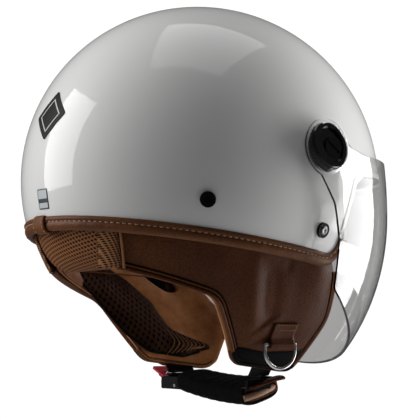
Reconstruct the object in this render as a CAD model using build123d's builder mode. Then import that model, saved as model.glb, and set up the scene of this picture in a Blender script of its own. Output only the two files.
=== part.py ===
"""Open face motorcycle helmet: shell, liner, padding, ear flaps, visor and chin strap.

Millimetres. +Z is up, the wearer looks along -Y, and the wearer's right side is -X.
The origin is the centre of the shell's ellipsoid, which is the middle of the head cavity.
"""

from build123d import *
from math import asin, cos, degrees, radians, sin, sqrt
import os

os.makedirs("parts", exist_ok=True)

# Shell: an ellipsoid, cut by a sloping rim and by the face opening.
HALF_LENGTH = 134.0
HALF_WIDTH = 117.0
HALF_HEIGHT = 127.8
WIDTH_RATIO = HALF_WIDTH / HALF_LENGTH
SHELL_WALL = 3.8
SKIRT_Z = -52.0
REACH = 200.0

# Nested surfaces, as insets from the shell's outside.
LINER_OUTSIDE = 4.1
LINER_INSIDE = 25.0
PAD_OUTSIDE = 25.4
PAD_INSIDE = 32.5
FLAP_OUTSIDE = 4.3
FLAP_INSIDE = 6.3
WEBBING_OUTSIDE = 6.5
WEBBING_INSIDE = 8.0
FLAP_LINING_OUTSIDE = 8.2
FLAP_LINING_INSIDE = 12.0
CHEEK_OUTSIDE = 12.4
CHEEK_INSIDE = 24.0
NECK_OUTSIDE = 5.4
EDGE_PROUD = 0.7
TRIM_PROUD = 1.5

# Rim line in side view: a straight slope down to the front.
RIM_BACK = (150.0, -27.2)
RIM_FRONT = (-29.0, -53.4)
RIM_CORNER_RADIUS = 9.0
TRIM_HEIGHT = 10.2

# Face opening in side view.
OPENING_LOW = (-38.5, -54.8)
OPENING_SIDE = (-43.6, -30.0)
OPENING_HIGH = (-51.5, -3.0)
BROW_REAR = (-66.0, 4.4)
BROW_Z = 5.0
OPENING_CORNER_RADIUS = 5.0
MOULDING_WIDTH = 3.2

# Visor: an elliptical barrel closing in below, hinged on the X axis through both pivots.
PIVOT_Y = -21.0
PIVOT_Z = 14.8
VISOR_HALF_LENGTH = 140.2
VISOR_HALF_WIDTH = 123.5
VISOR_RATIO = VISOR_HALF_WIDTH / VISOR_HALF_LENGTH
VISOR_WALL = 2.2
VISOR_WAIST_Z = -23.0
VISOR_RISE = 225.0
VISOR_DROP = 152.0
EAR_RADIUS = 20.0
BOSS_RADIUS = 17.0
BOSS_INNER_X = 117.2
BOSS_OUTER_X = 119.6
BOSS_POCKET_RADIUS = 15.2
BUSH_RADIUS = 7.0
BUSH_CLEARANCE = 0.06
SEAT_RADIUS = 13.0
FACE_GAP = 0.3

# Knurled cover of each pivot, leaning up and forward with the shell.
COVER_RADIUS = 16.7
COVER_AXIS = (0.965, -0.15, 0.21)
COVER_CENTRE = (123.6, -18.7, 16.2)
COVER_THICKNESS = 1.5
COVER_RECESS_RADIUS = 12.6
COVER_RECESS_DEPTH = 1.8
KNURL_COUNT = 40
SCREW_RADIUS = 3.0
SCREW_HEAD_RADIUS = 6.8
SCREW_END_X = 107.4
INSERT_RADIUS = 5.5
INSERT_FLANGE_RADIUS = 8.5
INSERT_FLANGE = 1.6

# Press stud and strap rivet on each lower side of the shell: (y, z) of the centre.
STUD_PLACE = (63.3, -22.5)
RIVET_PLACE = (-22.9, -39.2)
STUD_RADIUS = 5.2
STUD_PROUD = 2.0
STUD_SEAT = 0.35
STUD_SOCKET_RADIUS = 2.2
STUD_SOCKET_DEPTH = 1.4
STUD_SHANK_RADIUS = 1.9
STUD_SHANK = 3.2
RIVET_SHANK_RADIUS = 2.4
RIVET_SHANK = 5.0
SHANK_CLEARANCE = 0.15

# Strap anchor plates, between the shell and the webbing.
ANCHOR_OUTSIDE = 4.2
ANCHOR_INSIDE = 5.7
ANCHOR_Y = -19.0
ANCHOR_Z = -35.5
ANCHOR_WIDTH = 24.0
ANCHOR_HEIGHT = 18.0

# Chin strap: webbing in each flap, a padded sleeve, and the buckle under the left flap.
STRAP_Y = -14.0
WEBBING_WIDTH = 20.0
WEBBING_THICK = 1.5
WEBBING_TOP_Z = -24.0
WEBBING_LOW_Z = -138.0
TONGUE_Z = -143.6
SLEEVE_LEFT_X = 29.0
SLEEVE_RIGHT_X = -46.0
SLEEVE_WIDTH = 33.0
SLEEVE_WALL = 2.2
SLEEVE_LINING = 1.2
SLEEVE_TOP_Z = (-135.8, -139.5)
SLEEVE_LOW_Z = (-149.5, -156.0)
SLEEVE_SAG = 1.8
BUCKLE_X = 44.5
BUCKLE_LENGTH = 27.0
BUCKLE_WIDTH = 25.0
BUCKLE_TOP_Z = -140.4
BUCKLE_HEIGHT = 9.0
BUCKLE_WALL = 1.6


def inset_radii(inset):
    """Horizontal and vertical half axes of the ellipse that lies inset from the shell."""
    return HALF_LENGTH - inset, HALF_HEIGHT - inset


def skirt_radius(inset):
    """Radius of an inset surface where the straight-sided skirt begins."""
    radius, height = inset_radii(inset)
    return radius * sqrt(1 - (SKIRT_Z / height) ** 2)


def shell_x(y, z, inset=0.0):
    """Half width of the shell's surface at a place in side view."""
    radius, height = inset_radii(inset)
    return WIDTH_RATIO * radius * sqrt(1 - (y / radius) ** 2 - (z / height) ** 2)


def dome_profile(outer, inner, low_z):
    """Cross-section of a cap between two nested ellipses, from the axis down to low_z."""
    outer_radius, outer_height = inset_radii(outer)
    inner_radius, inner_height = inset_radii(inner)
    outer_angle = degrees(asin(low_z / outer_height))
    inner_angle = degrees(asin(low_z / inner_height))
    with BuildSketch(Plane.XZ) as profile:
        with BuildLine():
            outside = EllipticalCenterArc((0, 0), outer_radius, outer_height, outer_angle,
                                          arc_size=90 - outer_angle)
            inside = EllipticalCenterArc((0, 0), inner_radius, inner_height, inner_angle,
                                         arc_size=90 - inner_angle)
            Line(outside @ 1, inside @ 1)
            Line(outside @ 0, inside @ 0)
        make_face()
    return profile.sketch


def skirt_profile(outer, inner, high_z=0.0):
    """Cross-section of a skirt that leaves the ellipse at SKIRT_Z and leans inwards."""
    ends = []
    with BuildSketch(Plane.XZ) as profile:
        with BuildLine():
            for inset in (outer, inner):
                radius, height = inset_radii(inset)
                start = degrees(asin(SKIRT_Z / height))
                high = degrees(asin(high_z / height))
                upper = EllipticalCenterArc((0, 0), radius, height, start, arc_size=high - start)
                waist = upper @ 0
                middle = (waist.X - 24.2, -95.0)
                low = (waist.X - 55.6, -137.5)
                lower = ThreePointArc((waist.X, waist.Y), middle, low)
                ends.append((upper @ 1, lower @ 1))
            Line(ends[0][0], ends[1][0])
            Line(ends[0][1], ends[1][1])
        make_face()
    return profile.sketch


def side_region(points, radii):
    """Closed outline in side view, with a radius at each corner."""
    with BuildSketch(Plane.YZ) as region:
        with BuildLine():
            FilletPolyline(*points, radius=radii, close=True)
        make_face()
    return region.sketch


def rim_z(y):
    """Height of the rim line at a place along the helmet."""
    slope = (RIM_FRONT[1] - RIM_BACK[1]) / (RIM_FRONT[0] - RIM_BACK[0])
    return RIM_BACK[1] + slope * (y - RIM_BACK[0])


def shell_region(grow=0.0, drop=0.0):
    """Side view of the shell; grow eats into the face opening, drop lowers the rim."""
    points = [
        (RIM_BACK[0], RIM_BACK[1] - drop),
        (OPENING_LOW[0] - grow, rim_z(OPENING_LOW[0] - grow) - drop),
        (OPENING_SIDE[0] - grow, OPENING_SIDE[1]),
        (OPENING_HIGH[0] - grow, OPENING_HIGH[1] - grow),
        (BROW_REAR[0], BROW_REAR[1] - grow),
        (-REACH, BROW_Z - grow),
        (-REACH, REACH),
        (RIM_BACK[0], REACH),
    ]
    radii = [1.0, RIM_CORNER_RADIUS, 12.0, OPENING_CORNER_RADIUS, 12.0, 1.0, 1.0, 1.0]
    return side_region(points, radii)


# --- Outer shell and its edges -----------------------------------------------

with BuildPart() as outer_shell:
    revolve(dome_profile(0, SHELL_WALL, -80), axis=Axis.Z)
    scale(by=(WIDTH_RATIO, 1, 1))
    extrude(shell_region(), amount=REACH, both=True, mode=Mode.INTERSECT)
    with Locations(Plane.YZ.offset(-REACH)):
        with Locations((PIVOT_Y, PIVOT_Z)):
            Cylinder(INSERT_RADIUS + 0.05, 2 * REACH, align=(Align.CENTER, Align.CENTER, Align.MIN),
                     mode=Mode.SUBTRACT)

with BuildPart() as face_edge_moulding:
    revolve(dome_profile(-EDGE_PROUD, SHELL_WALL, -80), axis=Axis.Z)
    scale(by=(WIDTH_RATIO, 1, 1))
    extrude(shell_region(MOULDING_WIDTH), amount=REACH, both=True, mode=Mode.INTERSECT)
    extrude(shell_region(), amount=REACH, both=True, mode=Mode.SUBTRACT)

with BuildPart() as rim_trim:
    revolve(dome_profile(-TRIM_PROUD, SHELL_WALL + 0.1, -85), axis=Axis.Z)
    revolve(skirt_profile(FLAP_OUTSIDE - 0.15, CHEEK_INSIDE, -5.0), axis=Axis.Z,
            mode=Mode.SUBTRACT)
    scale(by=(WIDTH_RATIO, 1, 1))
    trim_points = [
        (RIM_BACK[0], RIM_BACK[1] - TRIM_HEIGHT),
        (-46.0, rim_z(-46.0) - TRIM_HEIGHT),
        (-45.5, -46.5),
        (RIM_BACK[0], -15.0),
    ]
    extrude(side_region(trim_points, [1.0, 9.0, 1.0, 1.0]), amount=REACH, both=True,
            mode=Mode.INTERSECT)
    extrude(shell_region(MOULDING_WIDTH + 0.05, 0.05), amount=REACH, both=True,
            mode=Mode.SUBTRACT)

# --- Liner and crown padding ---------------------------------------------------

LINER_LOW = 12.0
POCKET_INSIDE = 9.4
with BuildPart() as anchor_pocket:
    revolve(dome_profile(SHELL_WALL, POCKET_INSIDE, -70), axis=Axis.Z)
    scale(by=(WIDTH_RATIO, 1, 1))
    pocket_points = [(0.0, -18.0), (-35.0, -18.0), (-35.0, -60.0), (0.0, -60.0)]
    extrude(side_region(pocket_points, [3, 3, 1, 1]), amount=REACH, both=True,
            mode=Mode.INTERSECT)

with BuildPart() as eps_liner:
    revolve(dome_profile(LINER_OUTSIDE, LINER_INSIDE, -70), axis=Axis.Z)
    scale(by=(WIDTH_RATIO, 1, 1))
    liner_points = [
        (RIM_BACK[0], RIM_BACK[1] + LINER_LOW),
        (OPENING_LOW[0] + 6, rim_z(OPENING_LOW[0]) + LINER_LOW),
        (OPENING_SIDE[0] + 4, OPENING_SIDE[1]),
        (OPENING_HIGH[0] + 4, OPENING_HIGH[1] + 4),
        (BROW_REAR[0], BROW_REAR[1] + 3),
        (-REACH, BROW_Z + 3),
        (-REACH, REACH),
        (RIM_BACK[0], REACH),
    ]
    extrude(side_region(liner_points, [1, 4, 10, 4, 10, 1, 1, 1]), amount=REACH, both=True,
            mode=Mode.INTERSECT)
    with Locations(Plane.YZ.offset(-SCREW_END_X + 6)):
        with Locations((PIVOT_Y, PIVOT_Z)):
            Cylinder(INSERT_FLANGE_RADIUS + 1, 60, align=(Align.CENTER, Align.CENTER, Align.MAX),
                     mode=Mode.SUBTRACT)
    with Locations(Plane.YZ.offset(SCREW_END_X - 6)):
        with Locations((PIVOT_Y, PIVOT_Z)):
            Cylinder(INSERT_FLANGE_RADIUS + 1, 60, align=(Align.CENTER, Align.CENTER, Align.MIN),
                     mode=Mode.SUBTRACT)
    add(anchor_pocket.part, mode=Mode.SUBTRACT)

with BuildPart() as crown_pad:
    revolve(dome_profile(PAD_OUTSIDE, PAD_INSIDE, -40), axis=Axis.Z)
    scale(by=(WIDTH_RATIO, 1, 1))
    pad_points = [
        (RIM_BACK[0], -12.0),
        (-30.0, -12.0),
        (-48.0, 10.0),
        (-REACH, 14.0),
        (-REACH, REACH),
        (RIM_BACK[0], REACH),
    ]
    extrude(side_region(pad_points, [1, 8, 8, 1, 1, 1]), amount=REACH, both=True,
            mode=Mode.INTERSECT)

NECK_FRONT_Y = 98.5
with BuildPart() as neck_roll:
    revolve(skirt_profile(NECK_OUTSIDE, CHEEK_INSIDE, -20.0), axis=Axis.Z)
    scale(by=(WIDTH_RATIO, 1, 1))
    neck_points = [
        (RIM_BACK[0], -18.0),
        (NECK_FRONT_Y, -23.0),
        (NECK_FRONT_Y - 2.0, -63.0),
        (NECK_FRONT_Y + 12.0, -67.0),
        (RIM_BACK[0], -62.0),
    ]
    extrude(side_region(neck_points, [1, 3, 3, 3, 1]), amount=REACH, both=True,
            mode=Mode.INTERSECT)

# Leather keeper for a goggle strap, folded round the rim trim at the back centre.
LOOP_WIDTH = 14.5
LOOP_WALL = 1.6
LOOP_GAP = 0.25
LOOP_TOP_Z = -26.5
LOOP_LOW_Z = -44.5
with BuildPart() as loop_space:
    revolve(dome_profile(-TRIM_PROUD - LOOP_GAP, SHELL_WALL + 0.25, -85), axis=Axis.Z)
    scale(by=(WIDTH_RATIO, 1, 1))
    loop_floor = TRIM_HEIGHT + 2.0
    space_points = [
        (RIM_BACK[0], 0.0),
        (90.0, 0.0),
        (90.0, rim_z(90.0) - loop_floor),
        (RIM_BACK[0], RIM_BACK[1] - loop_floor),
    ]
    extrude(side_region(space_points, [1, 1, 1, 1]), amount=REACH, both=True,
            mode=Mode.INTERSECT)

with BuildPart() as goggle_loop:
    revolve(dome_profile(-TRIM_PROUD - LOOP_GAP - LOOP_WALL, NECK_OUTSIDE - 0.15, -85), axis=Axis.Z)
    scale(by=(WIDTH_RATIO, 1, 1))
    with BuildSketch(Plane.XZ.offset(-100.0)):
        with Locations((0, (LOOP_TOP_Z + LOOP_LOW_Z) / 2)):
            Rectangle(LOOP_WIDTH, LOOP_TOP_Z - LOOP_LOW_Z)
    extrude(amount=-60, mode=Mode.INTERSECT)
    add(loop_space.part, mode=Mode.SUBTRACT)

# --- Ear flaps -------------------------------------------------------------------

FLAP_POINTS = [
    (97.5, -24.5), (94.5, -63.0), (45.0, -85.0), (19.0, -130.0), (-40.0, -137.0),
    (-64.0, -100.0), (-44.5, -60.0), (-37.0, -50.0), (0.0, -50.0), (6.0, -38.5),
]
FLAP_RADII = [2.0, 3.0, 22.0, 13.0, 16.0, 16.0, 8.0, 3.0, 3.0, 3.0]
PIPING_WIDTH = 3.6


def flap_region(inward=0.0):
    """Side view of an ear flap, or of what is left inside its piping."""
    with BuildSketch(Plane.YZ) as region:
        with BuildLine():
            FilletPolyline(*FLAP_POINTS, radius=FLAP_RADII, close=True)
        make_face()
        if inward:
            offset(amount=-inward, kind=Kind.INTERSECTION, mode=Mode.REPLACE)
    return region.sketch


BAND_POINTS = [(60.0, -118.0), (-24.0, -121.5), (-80.0, -119.0), (-80.0, -150.0), (60.0, -150.0)]
TRIM_DROP = TRIM_HEIGHT + 0.8
BELOW_TRIM = [
    (RIM_BACK[0], RIM_BACK[1] - TRIM_DROP), (-80.0, rim_z(-80.0) - TRIM_DROP),
    (-80.0, -180.0), (RIM_BACK[0], -180.0),
]
with BuildPart() as webbing_space:
    revolve(skirt_profile(WEBBING_OUTSIDE - 0.15, WEBBING_INSIDE + 0.15, -15.0), axis=Axis.Z)
    scale(by=(WIDTH_RATIO, 1, 1))
    half = WEBBING_WIDTH / 2 + 0.5
    space_points = [(STRAP_Y + half, -20), (STRAP_Y + half, -150), (STRAP_Y - half, -150),
                    (STRAP_Y - half, -20)]
    extrude(side_region(space_points, [0.5, 0.5, 0.5, 0.5]), amount=-REACH, mode=Mode.INTERSECT)

with BuildPart() as ear_flap_right:
    revolve(skirt_profile(FLAP_OUTSIDE, FLAP_INSIDE, -20.0), axis=Axis.Z)
    scale(by=(WIDTH_RATIO, 1, 1))
    extrude(flap_region(PIPING_WIDTH), amount=-REACH, mode=Mode.INTERSECT)
    extrude(side_region(BAND_POINTS, [1, 60, 1, 1, 1]), amount=-REACH, mode=Mode.SUBTRACT)

with BuildPart() as flap_band_right:
    revolve(skirt_profile(FLAP_OUTSIDE + 0.3, FLAP_INSIDE, -20.0), axis=Axis.Z)
    scale(by=(WIDTH_RATIO, 1, 1))
    extrude(flap_region(PIPING_WIDTH), amount=-REACH, mode=Mode.INTERSECT)
    extrude(side_region(BAND_POINTS, [1, 60, 1, 1, 1]), amount=-REACH, mode=Mode.INTERSECT)

with BuildPart() as flap_piping_right:
    revolve(skirt_profile(FLAP_OUTSIDE - 1.0, FLAP_LINING_OUTSIDE - 0.1, -20.0), axis=Axis.Z)
    scale(by=(WIDTH_RATIO, 1, 1))
    extrude(flap_region(), amount=-REACH, mode=Mode.INTERSECT)
    extrude(flap_region(PIPING_WIDTH), amount=-REACH, mode=Mode.SUBTRACT)
    extrude(side_region(BELOW_TRIM, [1, 1, 1, 1]), amount=-REACH, mode=Mode.INTERSECT)
    add(webbing_space.part, mode=Mode.SUBTRACT)

with BuildPart() as flap_lining_right:
    revolve(skirt_profile(FLAP_LINING_OUTSIDE, FLAP_LINING_INSIDE, -20.0), axis=Axis.Z)
    scale(by=(WIDTH_RATIO, 1, 1))
    extrude(flap_region(1.0), amount=-REACH, mode=Mode.INTERSECT)
    with BuildSketch(Plane.YZ):
        with Locations((-18.0, -69.0)):
            SlotOverall(30, 9, rotation=28)
    extrude(amount=-REACH, mode=Mode.SUBTRACT)

CHEEK_POINTS = [
    (86.0, -57.0), (57.0, -80.0), (30.0, -112.0), (10.0, -124.0),
    (-20.0, -127.0), (-44.0, -118.0), (-10.0, -106.0), (-4.0, -84.0), (14.0, -68.0), (36.0, -53.0),
]
with BuildPart() as cheek_pad_right:
    revolve(skirt_profile(CHEEK_OUTSIDE, CHEEK_INSIDE, -20.0), axis=Axis.Z)
    scale(by=(WIDTH_RATIO, 1, 1))
    extrude(side_region(CHEEK_POINTS, [5, 10, 10, 8, 8, 4, 10, 10, 10, 5]), amount=-REACH,
            mode=Mode.INTERSECT)


def flap_x(z, inset=FLAP_OUTSIDE):
    """Half width of a flap's surface below SKIRT_Z, on the arc of the skirt at y = 0."""
    waist = skirt_radius(inset)
    depth = SKIRT_Z - z
    curve = (55.6 - 24.2 * 85.5 / 43.0) / (85.5 * (85.5 - 43.0))
    slope = 24.2 / 43.0 - curve * 43.0
    return WIDTH_RATIO * (waist - slope * depth - curve * depth ** 2)


# Stitched tab on each flap, folded round the straight bar of the D-ring.
RING_WIRE = 1.25
RING_HALF_WIDTH = 12.8
RING_LEG = 3.6
RING_Y = -15.2
RING_Z = -115.5
RING_X = 72.7
TAB_OUTSIDE = FLAP_OUTSIDE - 1.7
TAB_INSIDE = FLAP_OUTSIDE - 0.1
TAB_TOP_Z = -101.5
TAB_Y = -16.0
TAB_HALF_WIDTH = 10.3
TAB_FOLD = 1.4
RING_CLEARANCE = 0.06

with BuildPart() as d_ring_tab_right:
    revolve(skirt_profile(TAB_OUTSIDE, TAB_INSIDE, -20.0), axis=Axis.Z)
    scale(by=(WIDTH_RATIO, 1, 1))
    tab_points = [
        (TAB_Y + TAB_HALF_WIDTH, TAB_TOP_Z), (TAB_Y + TAB_HALF_WIDTH, RING_Z),
        (TAB_Y - TAB_HALF_WIDTH, RING_Z), (TAB_Y - TAB_HALF_WIDTH - 1.5, TAB_TOP_Z - 1.5),
    ]
    extrude(side_region(tab_points, [1, 1, 1, 1]), amount=-REACH, mode=Mode.INTERSECT)
    with Locations(Plane((-RING_X, TAB_Y, RING_Z), z_dir=(0, 1, 0))):
        Cylinder(RING_WIRE + RING_CLEARANCE + TAB_FOLD, 2 * TAB_HALF_WIDTH)
        Cylinder(RING_WIRE + RING_CLEARANCE, 4 * TAB_HALF_WIDTH, mode=Mode.SUBTRACT)

with BuildPart() as d_ring_right:
    low_z = RING_Z - RING_LEG
    near_y = RING_Y + RING_HALF_WIDTH
    far_y = RING_Y - RING_HALF_WIDTH
    with BuildLine():
        leg = Line((-RING_X, near_y, RING_Z), (-RING_X, near_y, low_z))
        bow = ThreePointArc(leg @ 1, (-RING_X, RING_Y, low_z - RING_HALF_WIDTH),
                            (-RING_X, far_y, low_z))
        Line(bow @ 1, (-RING_X, far_y, RING_Z))
    with BuildSketch(Plane(origin=leg @ 0, z_dir=(0, 0, -1))):
        Circle(RING_WIRE)
    sweep()
    with Locations(Plane((-RING_X, RING_Y, RING_Z), z_dir=(0, 1, 0))):
        Cylinder(RING_WIRE, 2 * RING_HALF_WIDTH)
    with Locations((-RING_X, near_y, RING_Z), (-RING_X, far_y, RING_Z)):
        Sphere(RING_WIRE)

# --- Visor and its pivots ----------------------------------------------------------


def barrel_profile(radius, high_z, low_z):
    """Half section of the solid inside a visor surface."""
    rise = VISOR_RISE
    drop = VISOR_DROP - (VISOR_HALF_LENGTH - radius)
    high_angle = degrees(asin((high_z - VISOR_WAIST_Z) / rise))
    low_angle = degrees(asin((low_z - VISOR_WAIST_Z) / drop))
    with BuildSketch(Plane.XZ) as profile:
        with BuildLine():
            upper = EllipticalCenterArc((0, VISOR_WAIST_Z), radius, rise, 0, arc_size=high_angle)
            lower = EllipticalCenterArc((0, VISOR_WAIST_Z), radius, drop, low_angle,
                                        arc_size=-low_angle)
            Line(upper @ 1, (0, high_z))
            Line((0, high_z), (0, low_z))
            Line((0, low_z), lower @ 0)
        make_face()
    return profile.sketch


VISOR_POINTS = [
    (-REACH, 14.0), (-64.0, 13.6), (-45.0, 17.5), (-28.0, 31.0), (-12.0, 16.0), (-13.4, -3.5),
    (-25.5, -22.0), (-30.8, -46.0), (-32.0, -78.0), (-REACH, -212.0),
]
with BuildPart() as visor:
    revolve(barrel_profile(VISOR_HALF_LENGTH, 60, -150), axis=Axis.Z)
    revolve(barrel_profile(VISOR_HALF_LENGTH - VISOR_WALL, 61, -151), axis=Axis.Z,
            mode=Mode.SUBTRACT)
    scale(by=(VISOR_RATIO, 1, 1))
    with BuildSketch(Plane.YZ):
        with BuildLine():
            FilletPolyline(*VISOR_POINTS, radius=[1, 12, 6, 3, 3, 6, 16, 30, 6, 1], close=True)
        make_face()
        with Locations((PIVOT_Y, PIVOT_Z)):
            Circle(EAR_RADIUS)
    extrude(amount=REACH, both=True, mode=Mode.INTERSECT)

with BuildPart() as barrel_core:
    revolve(barrel_profile(VISOR_HALF_LENGTH - VISOR_WALL, 60, -150), axis=Axis.Z)
    scale(by=(VISOR_RATIO, 1, 1))

BOSS_ROOT_X = 112.0
with BuildPart() as visor_bosses:
    for side in (-1, 1):
        with Locations(Plane((side * BOSS_ROOT_X, PIVOT_Y, PIVOT_Z), z_dir=(side, 0, 0))):
            Cylinder(BOSS_RADIUS, BOSS_OUTER_X - BOSS_ROOT_X,
                     align=(Align.CENTER, Align.CENTER, Align.MIN))
    add(barrel_core.part, mode=Mode.SUBTRACT)
    for side in (-1, 1):
        with Locations(Plane((side * BOSS_INNER_X, PIVOT_Y, PIVOT_Z), z_dir=(side, 0, 0))):
            Cylinder(BOSS_RADIUS - 1.0, BOSS_OUTER_X - BOSS_INNER_X,
                     align=(Align.CENTER, Align.CENTER, Align.MIN))

with BuildPart() as clear_visor:
    add(visor.part)
    for side in (-1, 1):
        with Locations(Plane((side * BOSS_OUTER_X, PIVOT_Y, PIVOT_Z), z_dir=(side, 0, 0))):
            Cylinder(BOSS_RADIUS, 20, align=(Align.CENTER, Align.CENTER, Align.MIN),
                     mode=Mode.SUBTRACT)
    add(visor_bosses.part)
    for side in (-1, 1):
        with Locations(Plane((side * BOSS_INNER_X, PIVOT_Y, PIVOT_Z), z_dir=(side, 0, 0))):
            Cylinder(BOSS_POCKET_RADIUS, 20, align=(Align.CENTER, Align.CENTER, Align.MAX),
                     mode=Mode.SUBTRACT)
            Cylinder(BUSH_RADIUS + BUSH_CLEARANCE, 30, mode=Mode.SUBTRACT)

with BuildPart() as shell_core:
    with BuildSketch(Plane.XZ):
        Ellipse(HALF_LENGTH + 0.03, HALF_HEIGHT + 0.03)
        with Locations((-REACH, 0)):
            Rectangle(2 * REACH, 2 * REACH, mode=Mode.SUBTRACT)
    revolve(axis=Axis.Z)
    scale(by=(WIDTH_RATIO, 1, 1))

SEAT_TOP_X = BOSS_INNER_X - FACE_GAP
with BuildPart() as pivot_seats:
    for side in (-1, 1):
        with Locations(Plane((side * 108.0, PIVOT_Y, PIVOT_Z), z_dir=(side, 0, 0))):
            Cylinder(SEAT_RADIUS, SEAT_TOP_X - 108.0,
                     align=(Align.CENTER, Align.CENTER, Align.MIN))
            Cylinder(SCREW_RADIUS + 0.1, 60, mode=Mode.SUBTRACT)
    add(shell_core.part, mode=Mode.SUBTRACT)

BUSH_END_X = BOSS_OUTER_X + FACE_GAP
with BuildPart() as pivot_bushes:
    for side in (-1, 1):
        with Locations(Plane((side * SEAT_TOP_X, PIVOT_Y, PIVOT_Z), z_dir=(side, 0, 0))):
            Cylinder(BUSH_RADIUS, BUSH_END_X - SEAT_TOP_X,
                     align=(Align.CENTER, Align.CENTER, Align.MIN))
            Cylinder(SCREW_RADIUS + 0.1, 30, mode=Mode.SUBTRACT)

COVER_BASE_X = BUSH_END_X + 0.1
COVER_FOOT_RADIUS = BOSS_RADIUS - 0.3
COVER_FOOT_X = 122.85
SCREW_HEAD_X = 122.6


def cover(side):
    """One knurled pivot cover, with its dished face."""
    axis = (side * COVER_AXIS[0], COVER_AXIS[1], COVER_AXIS[2])
    face = (side * COVER_CENTRE[0], COVER_CENTRE[1], COVER_CENTRE[2])
    with BuildPart() as made:
        with BuildSketch(Plane(face, z_dir=axis)):
            Circle(COVER_RADIUS)
            with PolarLocations(COVER_RADIUS + 0.15, KNURL_COUNT):
                Circle(0.55, mode=Mode.SUBTRACT)
        extrude(amount=-20)
        with BuildSketch(Plane(face, z_dir=axis)):
            Circle(COVER_RADIUS - 0.4)
        extrude(amount=COVER_THICKNESS)
        chamfer(made.faces().sort_by(Axis(face, axis))[-1].edges(), 0.9)
        with BuildSketch(Plane(face, z_dir=axis).offset(COVER_THICKNESS)):
            Circle(COVER_RECESS_RADIUS)
        extrude(amount=-COVER_RECESS_DEPTH, taper=25, mode=Mode.SUBTRACT)
        with Locations(Plane((side * COVER_BASE_X, 0, 0), z_dir=(side, 0, 0))):
            Box(REACH, REACH, REACH, align=(Align.CENTER, Align.CENTER, Align.MAX),
                mode=Mode.SUBTRACT)
        with BuildSketch(Plane((side * COVER_FOOT_X, PIVOT_Y, PIVOT_Z), z_dir=(side, 0, 0))):
            Circle(2 * COVER_RADIUS)
            Circle(COVER_FOOT_RADIUS, mode=Mode.SUBTRACT)
        extrude(amount=-20, mode=Mode.SUBTRACT)
        with Locations(Plane((side * SCREW_HEAD_X, PIVOT_Y, PIVOT_Z), z_dir=(side, 0, 0))):
            Cylinder(SCREW_HEAD_RADIUS + 0.25, 20, align=(Align.CENTER, Align.CENTER, Align.MIN),
                     mode=Mode.SUBTRACT)
            Cylinder(SCREW_RADIUS + 0.1, 30, mode=Mode.SUBTRACT)
    return made.part


with BuildPart() as pivot_covers:
    add(cover(-1))
    add(cover(1))

with BuildPart() as coin_screws:
    for side in (-1, 1):
        with Locations(Plane((side * SCREW_END_X, PIVOT_Y, PIVOT_Z), z_dir=(side, 0, 0))):
            Cylinder(SCREW_RADIUS, SCREW_HEAD_X - SCREW_END_X,
                     align=(Align.CENTER, Align.CENTER, Align.MIN))
        with Locations(Plane((side * SCREW_HEAD_X, PIVOT_Y, PIVOT_Z), z_dir=(side, 0, 0))):
            Cylinder(SCREW_HEAD_RADIUS, 2.6, align=(Align.CENTER, Align.CENTER, Align.MIN))
        with Locations(Plane((side * (SCREW_HEAD_X + 2.6), PIVOT_Y, PIVOT_Z),
                             x_dir=(0, 0.8, 0.6), z_dir=(side, 0, 0))):
            Box(2 * SCREW_HEAD_RADIUS - 1.5, 1.6, 1.4,
                align=(Align.CENTER, Align.CENTER, Align.MAX), mode=Mode.SUBTRACT)

INSERT_TOP_X = shell_x(PIVOT_Y, PIVOT_Z) - 1.2
with BuildPart() as pivot_inserts:
    for side in (-1, 1):
        with Locations(Plane((side * SCREW_END_X, PIVOT_Y, PIVOT_Z), z_dir=(side, 0, 0))):
            Cylinder(INSERT_RADIUS, INSERT_TOP_X - SCREW_END_X,
                     align=(Align.CENTER, Align.CENTER, Align.MIN))
            Cylinder(INSERT_FLANGE_RADIUS, INSERT_FLANGE,
                     align=(Align.CENTER, Align.CENTER, Align.MIN))
            Cylinder(SCREW_RADIUS + 0.05, 60, mode=Mode.SUBTRACT)

# --- Press studs, emblem and label -------------------------------------------------


def surface_plane(side, y, z, proud=0.0):
    """Plane on the shell's surface, facing outwards."""
    place = Vector(side * shell_x(y, z), y, z)
    normal = Vector(place.X / HALF_WIDTH ** 2, y / HALF_LENGTH ** 2, z / HALF_HEIGHT ** 2)
    return Plane(place + normal.normalized() * proud, z_dir=normal.normalized())




with BuildPart() as press_studs:
    for side in (-1, 1):
        with Locations(surface_plane(side, *STUD_PLACE, STUD_SEAT)):
            Cylinder(STUD_RADIUS, STUD_PROUD - STUD_SEAT,
                     align=(Align.CENTER, Align.CENTER, Align.MIN))
            Cylinder(STUD_SHANK_RADIUS, STUD_SHANK, align=(Align.CENTER, Align.CENTER, Align.MAX))
        with Locations(surface_plane(side, *STUD_PLACE, STUD_PROUD)):
            Cylinder(STUD_SOCKET_RADIUS, STUD_SOCKET_DEPTH,
                     align=(Align.CENTER, Align.CENTER, Align.MAX), mode=Mode.SUBTRACT)

with BuildPart() as strap_rivets:
    for side in (-1, 1):
        with Locations(surface_plane(side, *RIVET_PLACE, STUD_SEAT)):
            Cylinder(STUD_RADIUS, STUD_PROUD - STUD_SEAT,
                     align=(Align.CENTER, Align.CENTER, Align.MIN))
            Cylinder(RIVET_SHANK_RADIUS, RIVET_SHANK + STUD_SEAT,
                     align=(Align.CENTER, Align.CENTER, Align.MAX))
        with Locations(surface_plane(side, *RIVET_PLACE, STUD_PROUD)):
            Cone(RIVET_SHANK_RADIUS, STUD_SOCKET_RADIUS + 1.0, STUD_SOCKET_DEPTH / 2,
                 align=(Align.CENTER, Align.CENTER, Align.MAX), mode=Mode.SUBTRACT)

with BuildPart() as shank_holes:
    for side in (-1, 1):
        with Locations(surface_plane(side, *STUD_PLACE, 10.0)):
            Cylinder(STUD_SHANK_RADIUS + SHANK_CLEARANCE, 30)
        with Locations(surface_plane(side, *RIVET_PLACE, 10.0)):
            Cylinder(RIVET_SHANK_RADIUS + SHANK_CLEARANCE, 40)

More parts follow.
